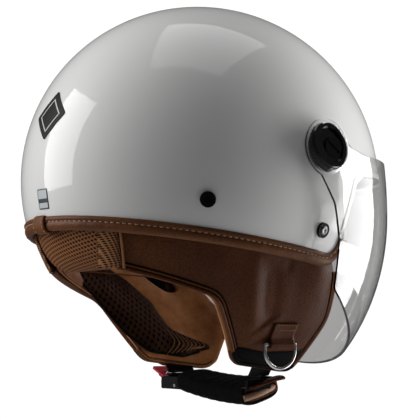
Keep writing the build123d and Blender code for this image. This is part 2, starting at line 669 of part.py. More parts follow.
with BuildPart() as drilled_shell:
    add(outer_shell.part)
    add(shank_holes.part, mode=Mode.SUBTRACT)

with BuildPart() as anchor_plates:
    revolve(dome_profile(ANCHOR_OUTSIDE, ANCHOR_INSIDE, -70), axis=Axis.Z)
    scale(by=(WIDTH_RATIO, 1, 1))
    with BuildSketch(Plane.YZ):
        with Locations((ANCHOR_Y, ANCHOR_Z)):
            RectangleRounded(ANCHOR_WIDTH, ANCHOR_HEIGHT, 3)
    extrude(amount=REACH, both=True, mode=Mode.INTERSECT)
    add(shank_holes.part, mode=Mode.SUBTRACT)

EMBLEM_SIDE = 24.0
with BuildPart() as back_emblem:
    revolve(dome_profile(-0.55, -0.05, -80), axis=Axis.Z)
    scale(by=(WIDTH_RATIO, 1, 1))
    with BuildSketch(Plane.XZ.offset(-100)):
        with Locations((-6.5, 38.3)):
            RectangleRounded(EMBLEM_SIDE, EMBLEM_SIDE, 1.2, rotation=45)
    extrude(amount=-60, mode=Mode.INTERSECT)

with BuildPart() as back_label:
    revolve(dome_profile(-0.35, -0.05, -80), axis=Axis.Z)
    scale(by=(WIDTH_RATIO, 1, 1))
    with BuildSketch(Plane.XZ.offset(-100)):
        with Locations((-6.5, -18.6)):
            RectangleRounded(12.0, 13.5, 0.8)
    extrude(amount=-60, mode=Mode.INTERSECT)

# --- Chin strap -----------------------------------------------------------------------


def strap_line(inset):
    """Long section of the sagging sleeve, seen from the front, thinner by inset."""
    middle_x = (SLEEVE_LEFT_X + SLEEVE_RIGHT_X) / 2
    left_top = SLEEVE_TOP_Z[0] - inset
    right_top = SLEEVE_TOP_Z[1] - inset
    left_low = SLEEVE_LOW_Z[0] + inset
    right_low = SLEEVE_LOW_Z[1] + inset
    with BuildSketch(Plane.XZ.offset(-STRAP_Y)) as section:
        with BuildLine():
            upper = ThreePointArc((SLEEVE_LEFT_X, left_top),
                                  (middle_x, (left_top + right_top) / 2 - SLEEVE_SAG),
                                  (SLEEVE_RIGHT_X, right_top))
            lower = ThreePointArc((SLEEVE_LEFT_X, left_low),
                                  (middle_x, (left_low + right_low) / 2 - SLEEVE_SAG),
                                  (SLEEVE_RIGHT_X, right_low))
            Line(upper @ 0, lower @ 0)
            Line(upper @ 1, lower @ 1)
        make_face()
    return section.sketch


SLEEVE_HOLLOW = SLEEVE_WIDTH / 2 - SLEEVE_WALL
with BuildPart() as strap_sleeve:
    extrude(strap_line(0), amount=SLEEVE_WIDTH / 2, both=True)
    long_edges = strap_sleeve.edges().filter_by(GeomType.CIRCLE)
    fillet(long_edges, 3.5)
    extrude(strap_line(SLEEVE_WALL), amount=SLEEVE_HOLLOW, both=True, mode=Mode.SUBTRACT)

with BuildPart() as sleeve_lining:
    lining_inset = SLEEVE_WALL + 0.1
    extrude(strap_line(lining_inset), amount=SLEEVE_HOLLOW - 0.1, both=True)
    extrude(strap_line(lining_inset + SLEEVE_LINING),
            amount=SLEEVE_HOLLOW - 0.1 - SLEEVE_LINING, both=True, mode=Mode.SUBTRACT)

# Webbing down inside each flap. The left one ends in a loop round the buckle's end bar.
with BuildPart() as webbing_right:
    revolve(skirt_profile(WEBBING_OUTSIDE, WEBBING_INSIDE, -15.0), axis=Axis.Z)
    scale(by=(WIDTH_RATIO, 1, 1))
    half = WEBBING_WIDTH / 2
    webbing_points = [
        (STRAP_Y + half, WEBBING_TOP_Z), (STRAP_Y + half, WEBBING_LOW_Z),
        (STRAP_Y - half, WEBBING_LOW_Z), (STRAP_Y - half, WEBBING_TOP_Z),
    ]
    extrude(side_region(webbing_points, [0.5, 0.5, 0.5, 0.5]), amount=-REACH,
            mode=Mode.INTERSECT)

WEBBING_LOW_X = flap_x(WEBBING_LOW_Z, (WEBBING_OUTSIDE + WEBBING_INSIDE) / 2)
BAR_X = BUCKLE_X + BUCKLE_LENGTH / 2 - 3.0
BAR_Z = BUCKLE_TOP_Z - 2.6
BAR_RADIUS = 1.2
LOOP_RADIUS = BAR_RADIUS + 0.15
with BuildPart() as webbing_left:
    mirror(webbing_right.part, about=Plane.YZ)
    with BuildSketch(Plane.XZ.offset(-STRAP_Y)):
        with BuildLine() as drop_line:
            Line((WEBBING_LOW_X, WEBBING_LOW_Z - 0.6),
                 (BAR_X - LOOP_RADIUS - WEBBING_THICK / 2, BAR_Z))
        trace(line_width=WEBBING_THICK)
        with Locations((WEBBING_LOW_X, WEBBING_LOW_Z - 0.4)):
            Rectangle(7.0, 1.2)
        with Locations((BAR_X, BAR_Z)):
            Circle(LOOP_RADIUS + WEBBING_THICK)
            Circle(LOOP_RADIUS, mode=Mode.SUBTRACT)
    extrude(amount=WEBBING_WIDTH / 2, both=True)

# Webbing across to the tongue, through the sleeve.
CHIN_LEFT_X = 22.0
CHIN_LEG_X = WEBBING_LOW_X - 1.0
with BuildPart() as chin_webbing:
    with BuildSketch(Plane.XZ.offset(-STRAP_Y)):
        with BuildLine():
            FilletPolyline(
                (-CHIN_LEG_X, WEBBING_LOW_Z - 2.0), (-CHIN_LEG_X + 1.0, TONGUE_Z - 4.0),
                (CHIN_LEFT_X - 16.0, TONGUE_Z - 1.8), (CHIN_LEFT_X, TONGUE_Z - 1.8), radius=1.8)
        trace(line_width=WEBBING_THICK)
    extrude(amount=WEBBING_WIDTH / 2, both=True)

# --- Ratchet buckle -----------------------------------------------------------------------

TONGUE_THICK = 1.8
TONGUE_WIDTH = 18.0
TONGUE_END_X = BUCKLE_X + 6.5
TONGUE_START_X = 9.0
TOOTH_PITCH = 2.6
TOOTH_DEPTH = 0.9
TOOTH_COUNT = 8
PIN_X = BUCKLE_X - 5.0
PIN_Z = BUCKLE_TOP_Z - 6.4
PIN_RADIUS = 1.2
PIN_CLEARANCE = 0.06
BUCKLE_END_X = BUCKLE_X - BUCKLE_LENGTH / 2
INNER_WIDTH = BUCKLE_WIDTH - 2 * BUCKLE_WALL

with BuildPart() as buckle_frame:
    with Locations((BUCKLE_X, STRAP_Y, BUCKLE_TOP_Z)):
        Box(BUCKLE_LENGTH, BUCKLE_WIDTH, BUCKLE_HEIGHT,
            align=(Align.CENTER, Align.CENTER, Align.MAX))
    edges = buckle_frame.edges().filter_by(Axis.Y)
    fillet(edges, 1.5)
    with Locations((BUCKLE_X, STRAP_Y, BUCKLE_TOP_Z - BUCKLE_WALL)):
        Box(BUCKLE_LENGTH + 10, INNER_WIDTH, BUCKLE_HEIGHT + 10,
            align=(Align.CENTER, Align.CENTER, Align.MAX), mode=Mode.SUBTRACT)
    with Locations((BAR_X - 4.2, STRAP_Y, BUCKLE_TOP_Z)):
        Box(20.0, INNER_WIDTH, 30, align=(Align.MIN, Align.CENTER, Align.CENTER),
            mode=Mode.SUBTRACT)
    with Locations(Plane((PIN_X, STRAP_Y, PIN_Z), z_dir=(0, 1, 0))):
        Cylinder(PIN_RADIUS + 0.02, 2 * BUCKLE_WIDTH, mode=Mode.SUBTRACT)
    with Locations(Plane((BAR_X, STRAP_Y, BAR_Z), z_dir=(0, 1, 0))):
        Cylinder(BAR_RADIUS, BUCKLE_WIDTH - BUCKLE_WALL)

with BuildPart() as buckle_tongue:
    with Locations((TONGUE_START_X, STRAP_Y, TONGUE_Z)):
        Box(TONGUE_END_X - TONGUE_START_X, TONGUE_WIDTH, TONGUE_THICK,
            align=(Align.MIN, Align.CENTER, Align.CENTER))
    corners = buckle_tongue.edges().filter_by(Axis.Z).sort_by(Axis.X)[-2:]
    fillet(corners, 4.0)
    with BuildSketch(Plane.XZ.offset(-STRAP_Y)):
        for tooth in range(TOOTH_COUNT):
            tooth_x = TONGUE_END_X - 3.0 - tooth * TOOTH_PITCH
            with BuildLine():
                Polyline((tooth_x, TONGUE_Z - TONGUE_THICK / 2),
                         (tooth_x - TOOTH_PITCH, TONGUE_Z - TONGUE_THICK / 2),
                         (tooth_x - TOOTH_PITCH, TONGUE_Z - TONGUE_THICK / 2 + TOOTH_DEPTH),
                         close=True)
            make_face()
    extrude(amount=TONGUE_WIDTH / 2 - 3.0, both=True, mode=Mode.SUBTRACT)

LEVER_WIDTH = INNER_WIDTH - 2.4
LEVER_HEEL_X = BUCKLE_X + BUCKLE_LENGTH / 2 + 4.0
LEVER_THICK = 1.8
LEVER_Z = BUCKLE_TOP_Z - BUCKLE_HEIGHT + 0.2
PAWL_TOP_Z = TONGUE_Z - TONGUE_THICK / 2 - 0.3

# The lever's free end turns up beside the frame, then leans out below the flap.
LEAN_ANGLE = radians(22.0)
LEAN_LENGTH = 11.0
LEAN_WIDTH = 11.0
LEAN_X = LEVER_HEEL_X + 0.8
LEAN_Z = LEVER_Z + 5.0
TAB_BOSS_RADIUS = 3.3
TAB_BOSS_PLACE = 6.5
PULL_THICK = 1.6
PULL_GAP = 0.1
TAB_RIVET_RADIUS = 1.4


def lean_point(along, out):
    """A point (x, z) along the leaning end, out from its lower face."""
    return (LEAN_X + along * cos(LEAN_ANGLE) - out * sin(LEAN_ANGLE),
            LEAN_Z + along * sin(LEAN_ANGLE) + out * cos(LEAN_ANGLE))


def lean_plane(along, out):
    """A plane on the leaning end, facing up and in."""
    x, z = lean_point(along, out)
    return Plane((x, STRAP_Y, z), x_dir=(0, 1, 0), z_dir=(-sin(LEAN_ANGLE), 0, cos(LEAN_ANGLE)))


BOSS_TOP = LEVER_THICK + PULL_GAP + PULL_THICK + 0.3
with BuildPart() as buckle_lever:
    with BuildSketch(Plane.XZ.offset(-STRAP_Y)):
        with BuildLine():
            Polyline(
                (PIN_X - 4.5, LEVER_Z), (LEVER_HEEL_X, LEVER_Z), lean_point(0, 0),
                lean_point(LEAN_LENGTH, 0), lean_point(LEAN_LENGTH, LEVER_THICK),
                lean_point(0, LEVER_THICK), (LEVER_HEEL_X - LEVER_THICK, LEVER_Z + LEVER_THICK),
                (PIN_X + 4.5, PAWL_TOP_Z - 1.6),
                (PIN_X + 2.6, PAWL_TOP_Z), (PIN_X - 2.6, PIN_Z + 1.0), (PIN_X - 4.5, LEVER_Z + LEVER_THICK),
                close=True)
        make_face()
        with Locations((PIN_X, PIN_Z)):
            Circle(PIN_RADIUS + PIN_CLEARANCE, mode=Mode.SUBTRACT)
    extrude(amount=LEVER_WIDTH / 2, both=True)
    with Locations((PIN_X, STRAP_Y + LEVER_WIDTH / 4, PIN_Z)):
        Box(12, 5.0, 5.6, mode=Mode.SUBTRACT)
    for side in (-1, 1):
        with Locations((LEVER_HEEL_X - LEVER_THICK, STRAP_Y + side * LEAN_WIDTH / 2, LEAN_Z)):
            Box(20, 10, 20, align=(Align.MIN, Align.MIN if side > 0 else Align.MAX, Align.MIN),
                mode=Mode.SUBTRACT)
    with Locations(lean_plane(TAB_BOSS_PLACE, LEVER_THICK)):
        Cylinder(TAB_BOSS_RADIUS, BOSS_TOP - LEVER_THICK, align=(Align.CENTER, Align.CENTER, Align.MIN))
    with Locations(lean_plane(TAB_BOSS_PLACE, 0)):
        Cylinder(TAB_RIVET_RADIUS + 0.05, 20, mode=Mode.SUBTRACT)

with BuildPart() as lever_pin:
    with Locations(Plane((PIN_X, STRAP_Y, PIN_Z), z_dir=(0, 1, 0))):
        Cylinder(PIN_RADIUS, BUCKLE_WIDTH + 0.6)

SPRING_WIRE = 0.3
SPRING_RADIUS = PIN_RADIUS + SPRING_WIRE + 0.25
SPRING_PITCH = 0.9
SPRING_TURNS = 4
with BuildPart() as lever_spring:
    spring_start = STRAP_Y + LEVER_WIDTH / 4 - SPRING_TURNS * SPRING_PITCH / 2
    with BuildLine():
        coil = Helix(SPRING_PITCH, SPRING_TURNS * SPRING_PITCH, SPRING_RADIUS,
                     center=(PIN_X, spring_start, PIN_Z), direction=(0, 1, 0))
    with BuildSketch(Plane(origin=coil @ 0, z_dir=coil % 0)):
        Circle(SPRING_WIRE)
    sweep()

# Pull tab, held on the leaning end by a boss and a rivet.
PULL_START = 1.0
PULL_LENGTH = 19.0
PULL_WIDTH = 14.0
with BuildPart() as pull_tab:
    with BuildSketch(lean_plane(PULL_START + PULL_LENGTH / 2, LEVER_THICK + PULL_GAP)):
        RectangleRounded(PULL_WIDTH, PULL_LENGTH, 2.0)
    extrude(amount=PULL_THICK)
    with Locations(lean_plane(TAB_BOSS_PLACE, 0)):
        Cylinder(TAB_BOSS_RADIUS + 0.05, 20, mode=Mode.SUBTRACT)

with BuildPart() as pull_tab_rivet:
    with Locations(lean_plane(TAB_BOSS_PLACE, BOSS_TOP)):
        Cylinder(TAB_RIVET_RADIUS + 0.8, 0.6, align=(Align.CENTER, Align.CENTER, Align.MIN))
        Cylinder(TAB_RIVET_RADIUS, BOSS_TOP, align=(Align.CENTER, Align.CENTER, Align.MAX))

# --- Write --------------------------------------------------------------------------------

with BuildPart() as ear_flap_left:
    mirror(ear_flap_right.part, about=Plane.YZ)
with BuildPart() as flap_band_left:
    mirror(flap_band_right.part, about=Plane.YZ)
with BuildPart() as flap_piping_left:
    mirror(flap_piping_right.part, about=Plane.YZ)
with BuildPart() as flap_lining_left:
    mirror(flap_lining_right.part, about=Plane.YZ)
with BuildPart() as cheek_pad_left:
    mirror(cheek_pad_right.part, about=Plane.YZ)
with BuildPart() as d_ring_tab_left:
    mirror(d_ring_tab_right.part, about=Plane.YZ)
with BuildPart() as d_ring_left:
    mirror(d_ring_right.part, about=Plane.YZ)

NODES = {
    "outer_shell": drilled_shell,
    "face_edge_moulding": face_edge_moulding,
    "rim_trim": rim_trim,
    "eps_liner": eps_liner,
    "crown_pad": crown_pad,
    "neck_roll": neck_roll,
    "goggle_loop": goggle_loop,
    "ear_flap_right": ear_flap_right,
    "ear_flap_left": ear_flap_left,
    "flap_band_right": flap_band_right,
    "flap_band_left": flap_band_left,
    "flap_piping_right": flap_piping_right,
    "flap_piping_left": flap_piping_left,
    "flap_lining_right": flap_lining_right,
    "flap_lining_left": flap_lining_left,
    "cheek_pad_right": cheek_pad_right,
    "cheek_pad_left": cheek_pad_left,
    "d_ring_tab_right": d_ring_tab_right,
    "d_ring_tab_left": d_ring_tab_left,
    "d_ring_right": d_ring_right,
    "d_ring_left": d_ring_left,
    "visor": clear_visor,
    "pivot_seats": pivot_seats,
    "pivot_bushes": pivot_bushes,
    "pivot_covers": pivot_covers,
    "coin_screws": coin_screws,
    "pivot_inserts": pivot_inserts,
    "press_studs": press_studs,
    "strap_rivets": strap_rivets,
    "anchor_plates": anchor_plates,
    "back_emblem": back_emblem,
    "back_label": back_label,
    "strap_sleeve": strap_sleeve,
    "sleeve_lining": sleeve_lining,
    "webbing_right": webbing_right,
    "webbing_left": webbing_left,
    "chin_webbing": chin_webbing,
    "buckle_frame": buckle_frame,
    "buckle_tongue": buckle_tongue,
    "buckle_lever": buckle_lever,
    "lever_pin": lever_pin,
    "lever_spring": lever_spring,
    "pull_tab": pull_tab,
    "pull_tab_rivet": pull_tab_rivet,
}
for node, piece in NODES.items():
    piece.part.label = node
    export_step(piece.part, f"parts/{node}.step")
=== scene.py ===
"""Looks of the open face motorcycle helmet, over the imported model. Lengths are in mm unless a comment or
docstring says metres, and become metres as a mesh is made."""
import math
import bpy
import numpy as np
from mathutils import Matrix, Vector
from mathutils.geometry import delaunay_2d_cdt


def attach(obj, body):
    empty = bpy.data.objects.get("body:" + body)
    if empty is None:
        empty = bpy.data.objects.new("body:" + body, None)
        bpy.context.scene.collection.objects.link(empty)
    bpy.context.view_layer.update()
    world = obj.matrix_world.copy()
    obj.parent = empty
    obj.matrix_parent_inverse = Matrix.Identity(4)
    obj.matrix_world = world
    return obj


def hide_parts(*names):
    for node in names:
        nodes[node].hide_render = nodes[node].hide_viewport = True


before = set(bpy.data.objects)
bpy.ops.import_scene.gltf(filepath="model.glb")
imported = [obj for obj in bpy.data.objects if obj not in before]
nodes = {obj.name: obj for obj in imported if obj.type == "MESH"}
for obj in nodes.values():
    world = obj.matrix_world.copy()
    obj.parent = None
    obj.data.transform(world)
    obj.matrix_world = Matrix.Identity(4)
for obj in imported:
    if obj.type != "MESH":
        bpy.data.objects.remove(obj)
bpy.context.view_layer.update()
MM = 0.001
HELMET = "helmet"
SIDES = ((-1, "right"), (1, "left"))

# --- The shell's surfaces, as the CAD model has them ---
HALF_LENGTH, HALF_WIDTH, HALF_HEIGHT = 134.0, 117.0, 127.8
WIDTH_RATIO = HALF_WIDTH / HALF_LENGTH
FLAP_INSET, FLAP_BACK = 4.3, 6.3
SKIRT_Z = -52.0
SKIRT_ARC = (43.0, -24.2), (85.5, -55.6)  # depth and drop at two points
(RIM_BACK_Y, RIM_BACK_Z), (RIM_FRONT_Y, RIM_FRONT_Z) = (150.0, -27.2), (-29.0, -53.4)
RIM_SLOPE = (RIM_FRONT_Z - RIM_BACK_Z) / (RIM_FRONT_Y - RIM_BACK_Y)
FLARE = 5.5  # how much wider the flaps hang at their lower front than the shell's surface


def smooth(value):
    """Eased 0 to 1."""
    value = np.clip(value, 0.0, 1.0)
    return value * value * (3 - 2 * value)


def rim_z(y):
    """Height of the rim line."""
    return RIM_BACK_Z + RIM_SLOPE * (y - RIM_BACK_Y)


def skirt_drop(depth):
    """How far the skirt has closed in at a depth under SKIRT_Z, on the arc through 0, 0 and SKIRT_ARC."""
    (ax, ay), (bx, by) = SKIRT_ARC
    d = 2 * (ax * by - ay * bx)
    cx = (by * (ax * ax + ay * ay) - ay * (bx * bx + by * by)) / d
    cy = (ax * (bx * bx + by * by) - bx * (ax * ax + ay * ay)) / d
    return -(cy + np.sqrt(np.maximum(cx * cx + cy * cy - (depth - cx) ** 2, 0.0)))


def surface_radius(z, inset):
    """Radius of a nested surface at a height."""
    z = np.asarray(z, float)
    radius, height = HALF_LENGTH - inset, HALF_HEIGHT - inset
    dome = radius * np.sqrt(np.maximum(1 - (np.maximum(z, SKIRT_Z) / height) ** 2, 0.0))
    return dome - np.where(z < SKIRT_Z, skirt_drop(np.maximum(SKIRT_Z - z, 0.0)), 0.0)


def surface_x(y, z, inset=0.0):
    """Half width of a nested surface. The flaps hang a little wider at their front edge."""
    y, z = np.asarray(y), np.asarray(z)
    flare = FLARE * smooth((-12.0 - y) / 32.0) * smooth((-50.0 - z) / 20.0)
    return flare + WIDTH_RATIO * np.sqrt(np.maximum(surface_radius(z, inset) ** 2 - y ** 2, 1.0))


def on_shell(outline, inset, side):
    """An outline of (y, z) points on one side of the helmet, at an inset."""
    y, z = outline[:, 0], outline[:, 1]
    return np.stack([side * surface_x(y, z, inset), y, z], 1)


# --- Mesh helpers ---


def unit(vectors):
    """Vectors scaled to a length of 1."""
    return vectors / np.linalg.norm(vectors, axis=-1, keepdims=True)


def turned(x, y, angle):
    """A point of a plane, turned about the origin."""
    c, s = math.cos(angle), math.sin(angle)
    return np.array([x * c - y * s, x * s + y * c])


def run_lengths(line):
    """The length along a line at each of its points."""
    return np.concatenate([[0], np.cumsum(np.linalg.norm(np.diff(line, axis=0), axis=1))])


def add_object(name, data):
    """A new object in the scene."""
    made = bpy.data.objects.new(name, data)
    bpy.context.scene.collection.objects.link(made)
    return made


def make_piece(name, points, faces, material, body=HELMET, uvs=None):
    """A shaded mesh piece that rides on a body."""
    mesh = bpy.data.meshes.new(name)
    mesh.from_pydata([tuple(p * MM) for p in np.asarray(points, float)], [], faces)
    mesh.validate()
    if uvs is not None:
        layer = mesh.uv_layers.new(name="size_mm")
        loops = np.zeros(len(mesh.loops), dtype=np.int32)
        mesh.loops.foreach_get("vertex_index", loops)
        layer.data.foreach_set("uv", np.asarray(uvs, float)[loops].ravel())
    mesh.shade_smooth()
    piece = add_object(name, mesh)
    mesh.materials.append(material)
    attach(piece, body)
    return piece


def corner_arc(before, here, after, radius, step=1.0, count=None):
    """The arc that rounds a corner, as points about a step apart or as a count of points."""
    here = np.array(here, float)
    u, v = unit(np.array(before, float) - here), unit(np.array(after, float) - here)
    half = math.acos(max(-1, min(1, float(u @ v)))) / 2
    tangent = radius / math.tan(half)
    centre = here + unit(u + v) * radius / math.sin(half)
    a, b = here + u * tangent - centre, here + v * tangent - centre
    turn = math.atan2(a[0] * b[1] - a[1] * b[0], float(a @ b))
    count = count or max(3, int(abs(turn) * radius / step))
    return [centre + turned(*a, turn * t) for t in np.linspace(0, 1, count)]


def rounded(points, radii, step=1.5):
    """A closed outline with arcs at its corners, as evenly spaced points."""
    out = []
    for k in range(len(points)):
        out += corner_arc(points[k - 1], points[k], points[(k + 1) % len(points)], radii[k], step)
    return resample(np.array(out), step, closed=True)


def resample(line, step, closed=False):
    """Evenly spaced points along a line."""
    line = np.asarray(line, float)
    if closed:
        line = np.vstack([line, line[:1]])
    lengths = run_lengths(line)
    count = max(2, int(round(lengths[-1] / step)))
    places = np.linspace(0, lengths[-1], count + 1)
    out = np.stack([np.interp(places, lengths, line[:, k]) for k in range(line.shape[1])], 1)
    return out[:-1] if closed else out


def inside(points, outline):
    """Which points lie in an outline."""
    x, y = points[:, 0], points[:, 1]
    result = np.zeros(len(points), bool)
    for k in range(len(outline)):
        (ax, ay), (bx, by) = outline[k - 1], outline[k]
        crosses = (ay > y) != (by > y)
        with np.errstate(divide="ignore", invalid="ignore"):
            result ^= crosses & (x < (bx - ax) * (y - ay) / (by - ay) + ax)
    return result


def edge_distance(points, outline):
    """Distance of each point to an outline."""
    best = np.full(len(points), 1e9)
    for k in range(len(outline)):
        a, b = outline[k - 1], outline[k]
        ab = b - a
        t = np.clip(((points - a) @ ab) / max(float(ab @ ab), 1e-9), 0, 1)
        best = np.minimum(best, np.linalg.norm(points - a - t[:, None] * ab, axis=1))
    return best


def fill_outline(outline, step, hole=None):
    """Triangles over an outline, with an even grid of points inside."""
    row_pitch, gap = step * 0.87, step * 0.55
    low, high = outline.min(0), outline.max(0)
    grid = np.array([(u, v) for j, v in enumerate(np.arange(low[1], high[1], row_pitch))
                     for u in np.arange(low[0] + (j % 2) * step / 2, high[0], step)])
    grid = grid[inside(grid, outline)]
    grid = grid[edge_distance(grid, outline) > gap]
    rims = [outline]
    if hole is not None:
        grid = grid[~inside(grid, hole)]
        grid = grid[edge_distance(grid, hole) > gap]
        rims.append(hole)
    edges, start = [], 0
    for rim in rims:
        edges += [(start + k, start + (k + 1) % len(rim)) for k in range(len(rim))]
        start += len(rim)
    every = np.vstack(rims + [grid])
    result = delaunay_2d_cdt([Vector(p) for p in every], edges, [], 1, 1e-5)
    points = np.array([tuple(p) for p in result[0]])
    faces = np.array([tuple(f) for f in result[2]])
    middle = points[faces].mean(1)
    keep = inside(middle, outline)
    if hole is not None:
        keep &= ~inside(middle, hole)
    return points, faces[keep]


def panel(name, outline, side, front, back, material, step=2.0, hole=None):
    """A closed soft panel on the skirt. front and back are its two insets, each a number or a function of
    (y, z, edge distance)."""
    points, faces = fill_outline(outline, step, hole)
    distance = edge_distance(points, outline)
    if hole is not None:
        distance = np.minimum(distance, edge_distance(points, hole))
    skins = [on_shell(points, inset(*points.T, distance) if callable(inset) else inset, side)
             for inset in (front, back)]
    count = len(points)
    a = [tuple(f[::-1]) if side > 0 else tuple(f) for f in faces]
    b = [tuple(x + count for x in f[::-1]) for f in a]
    edges = {(f[k], f[(k + 1) % 3]): None for f in a for k in range(3)}
    walls = [(q, p, p + count, q + count) for p, q in edges if (q, p) not in edges]
    return make_piece(name, np.vstack(skins), a + b + walls, material, uvs=np.vstack([points, points]))


def loft(name, rings, material, body=HELMET, cap=True):
    """A skin through closed rings of points."""
    rings = np.asarray(rings, float)
    m, k = rings.shape[:2]
    faces = []
    for i in range(m - 1):
        for j in range(k):
            n = (j + 1) % k
            faces.append((i * k + j, i * k + n, (i + 1) * k + n, (i + 1) * k + j))
    if cap:
        faces.append(tuple(range(k))[::-1])
        faces.append(tuple(range((m - 1) * k, m * k)))
    along, across = run_lengths(rings.mean(1)), run_lengths(rings[m // 2])
    uv = np.stack(np.broadcast_arrays(along[:, None], across[None, :]), -1).reshape(-1, 2)
    return make_piece(name, rings.reshape(-1, 3), faces, material, body, uv)


def sweep_rings(line, normals, profile):
    """Rings of a profile of (sideways, outward) points along a line."""
    tangent = unit(np.gradient(line, axis=0))
    normal = unit(normals - (normals * tangent).sum(1)[:, None] * tangent)
    sideways = np.cross(tangent, normal)
    profile = np.asarray(profile, float)
    return (line[:, None, :] + sideways[:, None, :] * profile[None, :, 0, None]
            + normal[:, None, :] * profile[None, :, 1, None])


def round_profile(radius, count=12):
    """A circle as (sideways, outward) points."""
    t = np.linspace(0, 2 * math.pi, count, endpoint=False)
    return np.stack([radius * np.cos(t), radius * np.sin(t)], 1)


def surface_normal(points):
    """Outward direction of the shell at each point, from its radius just above and below."""
    x, y, z = points.T
    radius = np.sqrt((x / WIDTH_RATIO) ** 2 + y ** 2)
    slope = surface_radius(z + 0.5, FLAP_INSET) - surface_radius(z - 0.5, FLAP_INSET)
    return unit(np.stack([x / WIDTH_RATIO ** 2 / radius, y / radius, -slope], 1))


def tube(name, line, radius, material, flat=1.0):
    """A round or oval cord along a line on the helmet."""
    profile = round_profile(radius) * np.array([1.0, flat])
    return loft(name, sweep_rings(line, surface_normal(line), profile), material)


STITCH_SHAPE = ((-1.0, 0.25), (-0.75, 0.8), (0.0, 1.0), (0.75, 0.8), (1.0, 0.25))  # place and thickness


def stitches(name, line, normals, material, spacing, length, radius, lift, body=HELMET):
    """A row of small thread stitches, as one piece. normals is one direction, or one for each point."""
    sides = 6
    lengths = run_lengths(line)
    places = np.arange(spacing / 2, lengths[-1], spacing)

    def at(values, shift=0.0):
        return np.stack([np.interp(places + shift, lengths, values[:, k]) for k in range(3)], 1)

    ahead = unit(at(line, 0.5) - at(line, -0.5))
    outward = unit(at(np.broadcast_to(normals, line.shape)))
    points, faces = [], []
    for c, d, n in zip(at(line), ahead, outward):
        s = np.cross(d, n)
        start = len(points)
        for u, w in STITCH_SHAPE:
            for k in range(sides):
                t = k * 2 * math.pi / sides
                points.append(c + d * u * length / 2 + n * (lift + radius * w * math.sin(t) - 0.25 * u * u)
                              + s * radius * w * math.cos(t))
        last = len(points) - sides
        for first in range(start, last, sides):
            for k in range(sides):
                a, b = first + k, first + (k + 1) % sides
                faces.append((a, b, b + sides, a + sides))
        faces.append(tuple(range(start, start + sides))[::-1])
        faces.append(tuple(range(last, last + sides)))
    return make_piece(name, np.array(points), faces, material, body)


# --- Materials ---


def tint(tone, factor):
    """A colour made darker or lighter."""
    return tuple(min(1, factor * c) for c in tone)


class Finish:
    """A node material under construction."""

    def __init__(self, name, color, rough, metallic=0.0, **sockets):
        self.material = bpy.data.materials.new(name)
        self.material.use_nodes = True
        self.tree = self.material.node_tree
        self.shader = self.tree.nodes["Principled BSDF"]
        self.set("Base Color", (*color, 1.0))
        self.set("Roughness", rough)
        self.set("Metallic", metallic)
        for key, value in sockets.items():
            self.set(key.replace("_", " "), value)
        self.height = None

    def set(self, socket, value):
        self.shader.inputs[socket].default_value = value

    def node(self, kind, **values):
        made = self.tree.nodes.new("ShaderNode" + kind)
        for key, value in values.items():
            if hasattr(made, key):
                setattr(made, key, value)
            else:
                made.inputs[key.replace("_", " ")].default_value = value
        return made

    def link(self, source, target):
        self.tree.links.new(source, target)

    def feed(self, target, value):
        """Set an input to a number or a colour, or link another node's output to it."""
        if isinstance(value, bpy.types.NodeSocket):
            self.link(value, target)
        else:
            target.default_value = (*value, 1.0) if isinstance(value, tuple) else value

    def math(self, operation, *values):
        made = self.node("Math", operation=operation)
        for k, value in enumerate(values):
            self.feed(made.inputs[k], value)
        return made.outputs[0]

    def wave(self, operation, source, pitch):
        """A sine or cosine with a pitch in the unit of its source."""
        return self.math(operation, self.math("MULTIPLY", source, 2 * math.pi / pitch))

    def place(self, kind="Object"):
        return self.node("TexCoord").outputs[kind]

    def split(self, source):
        """The x, y and z of a vector."""
        made = self.node("SeparateXYZ")
        self.link(source, made.inputs[0])
        return made.outputs

    def from_centre(self, x, z):
        """How far right and up a place is from a point on the shell's back, in metres."""
        parts = self.split(self.place())
        return self.math("SUBTRACT", parts[0], x), self.math("SUBTRACT", parts[2], z)

    def noise(self, scale, detail=4.0, rough=0.55):
        made = self.node("TexNoise", Scale=scale, Detail=detail, Roughness=rough)
        self.link(self.place(), made.inputs["Vector"])
        return made.outputs[0]

    def cells(self, scale):
        made = self.node("TexVoronoi", Scale=scale)
        self.link(self.place(), made.inputs["Vector"])
        return made.outputs["Distance"]

    def ramp(self, source, low, high, start=0.3, end=0.7):
        made = self.node("ValToRGB")
        made.color_ramp.elements[0].position = start
        made.color_ramp.elements[1].position = end
        made.color_ramp.elements[0].color = (*low, 1.0)
        made.color_ramp.elements[1].color = (*high, 1.0)
        self.link(source, made.inputs[0])
        return made.outputs[0]

    def mix(self, factor, a, b):
        made = self.node("Mix", data_type="RGBA")
        for k, value in ((0, factor), (6, a), (7, b)):
            self.feed(made.inputs[k], value)
        return made.outputs[2]

    def color(self, source):
        self.link(source, self.shader.inputs["Base Color"])

    def roughness(self, source, low, high):
        made = self.node("MapRange", To_Min=low, To_Max=high)
        self.link(source, made.inputs["Value"])
        self.link(made.outputs[0], self.shader.inputs["Roughness"])

    def bump(self, source, distance, strength=1.0):
        made = self.node("Bump", Strength=strength, Distance=distance)
        self.link(source, made.inputs["Height"])
        if self.height is not None:
            self.link(self.height, made.inputs["Normal"])
        self.height = made.outputs[0]
        self.link(self.height, self.shader.inputs["Normal"])


def shell_paint():
    f = Finish("shell_paint", (0.80, 0.80, 0.785), 0.4, Specular_IOR_Level=0.1, Coat_Weight=1.0,
               Coat_Roughness=0.05, Coat_IOR=1.3)
    f.color(f.ramp(f.noise(9.0, 2.0), (0.79, 0.79, 0.775), (0.815, 0.815, 0.80)))
    f.bump(f.noise(260.0, 2.0), 0.00002, 0.25)
    return f.material


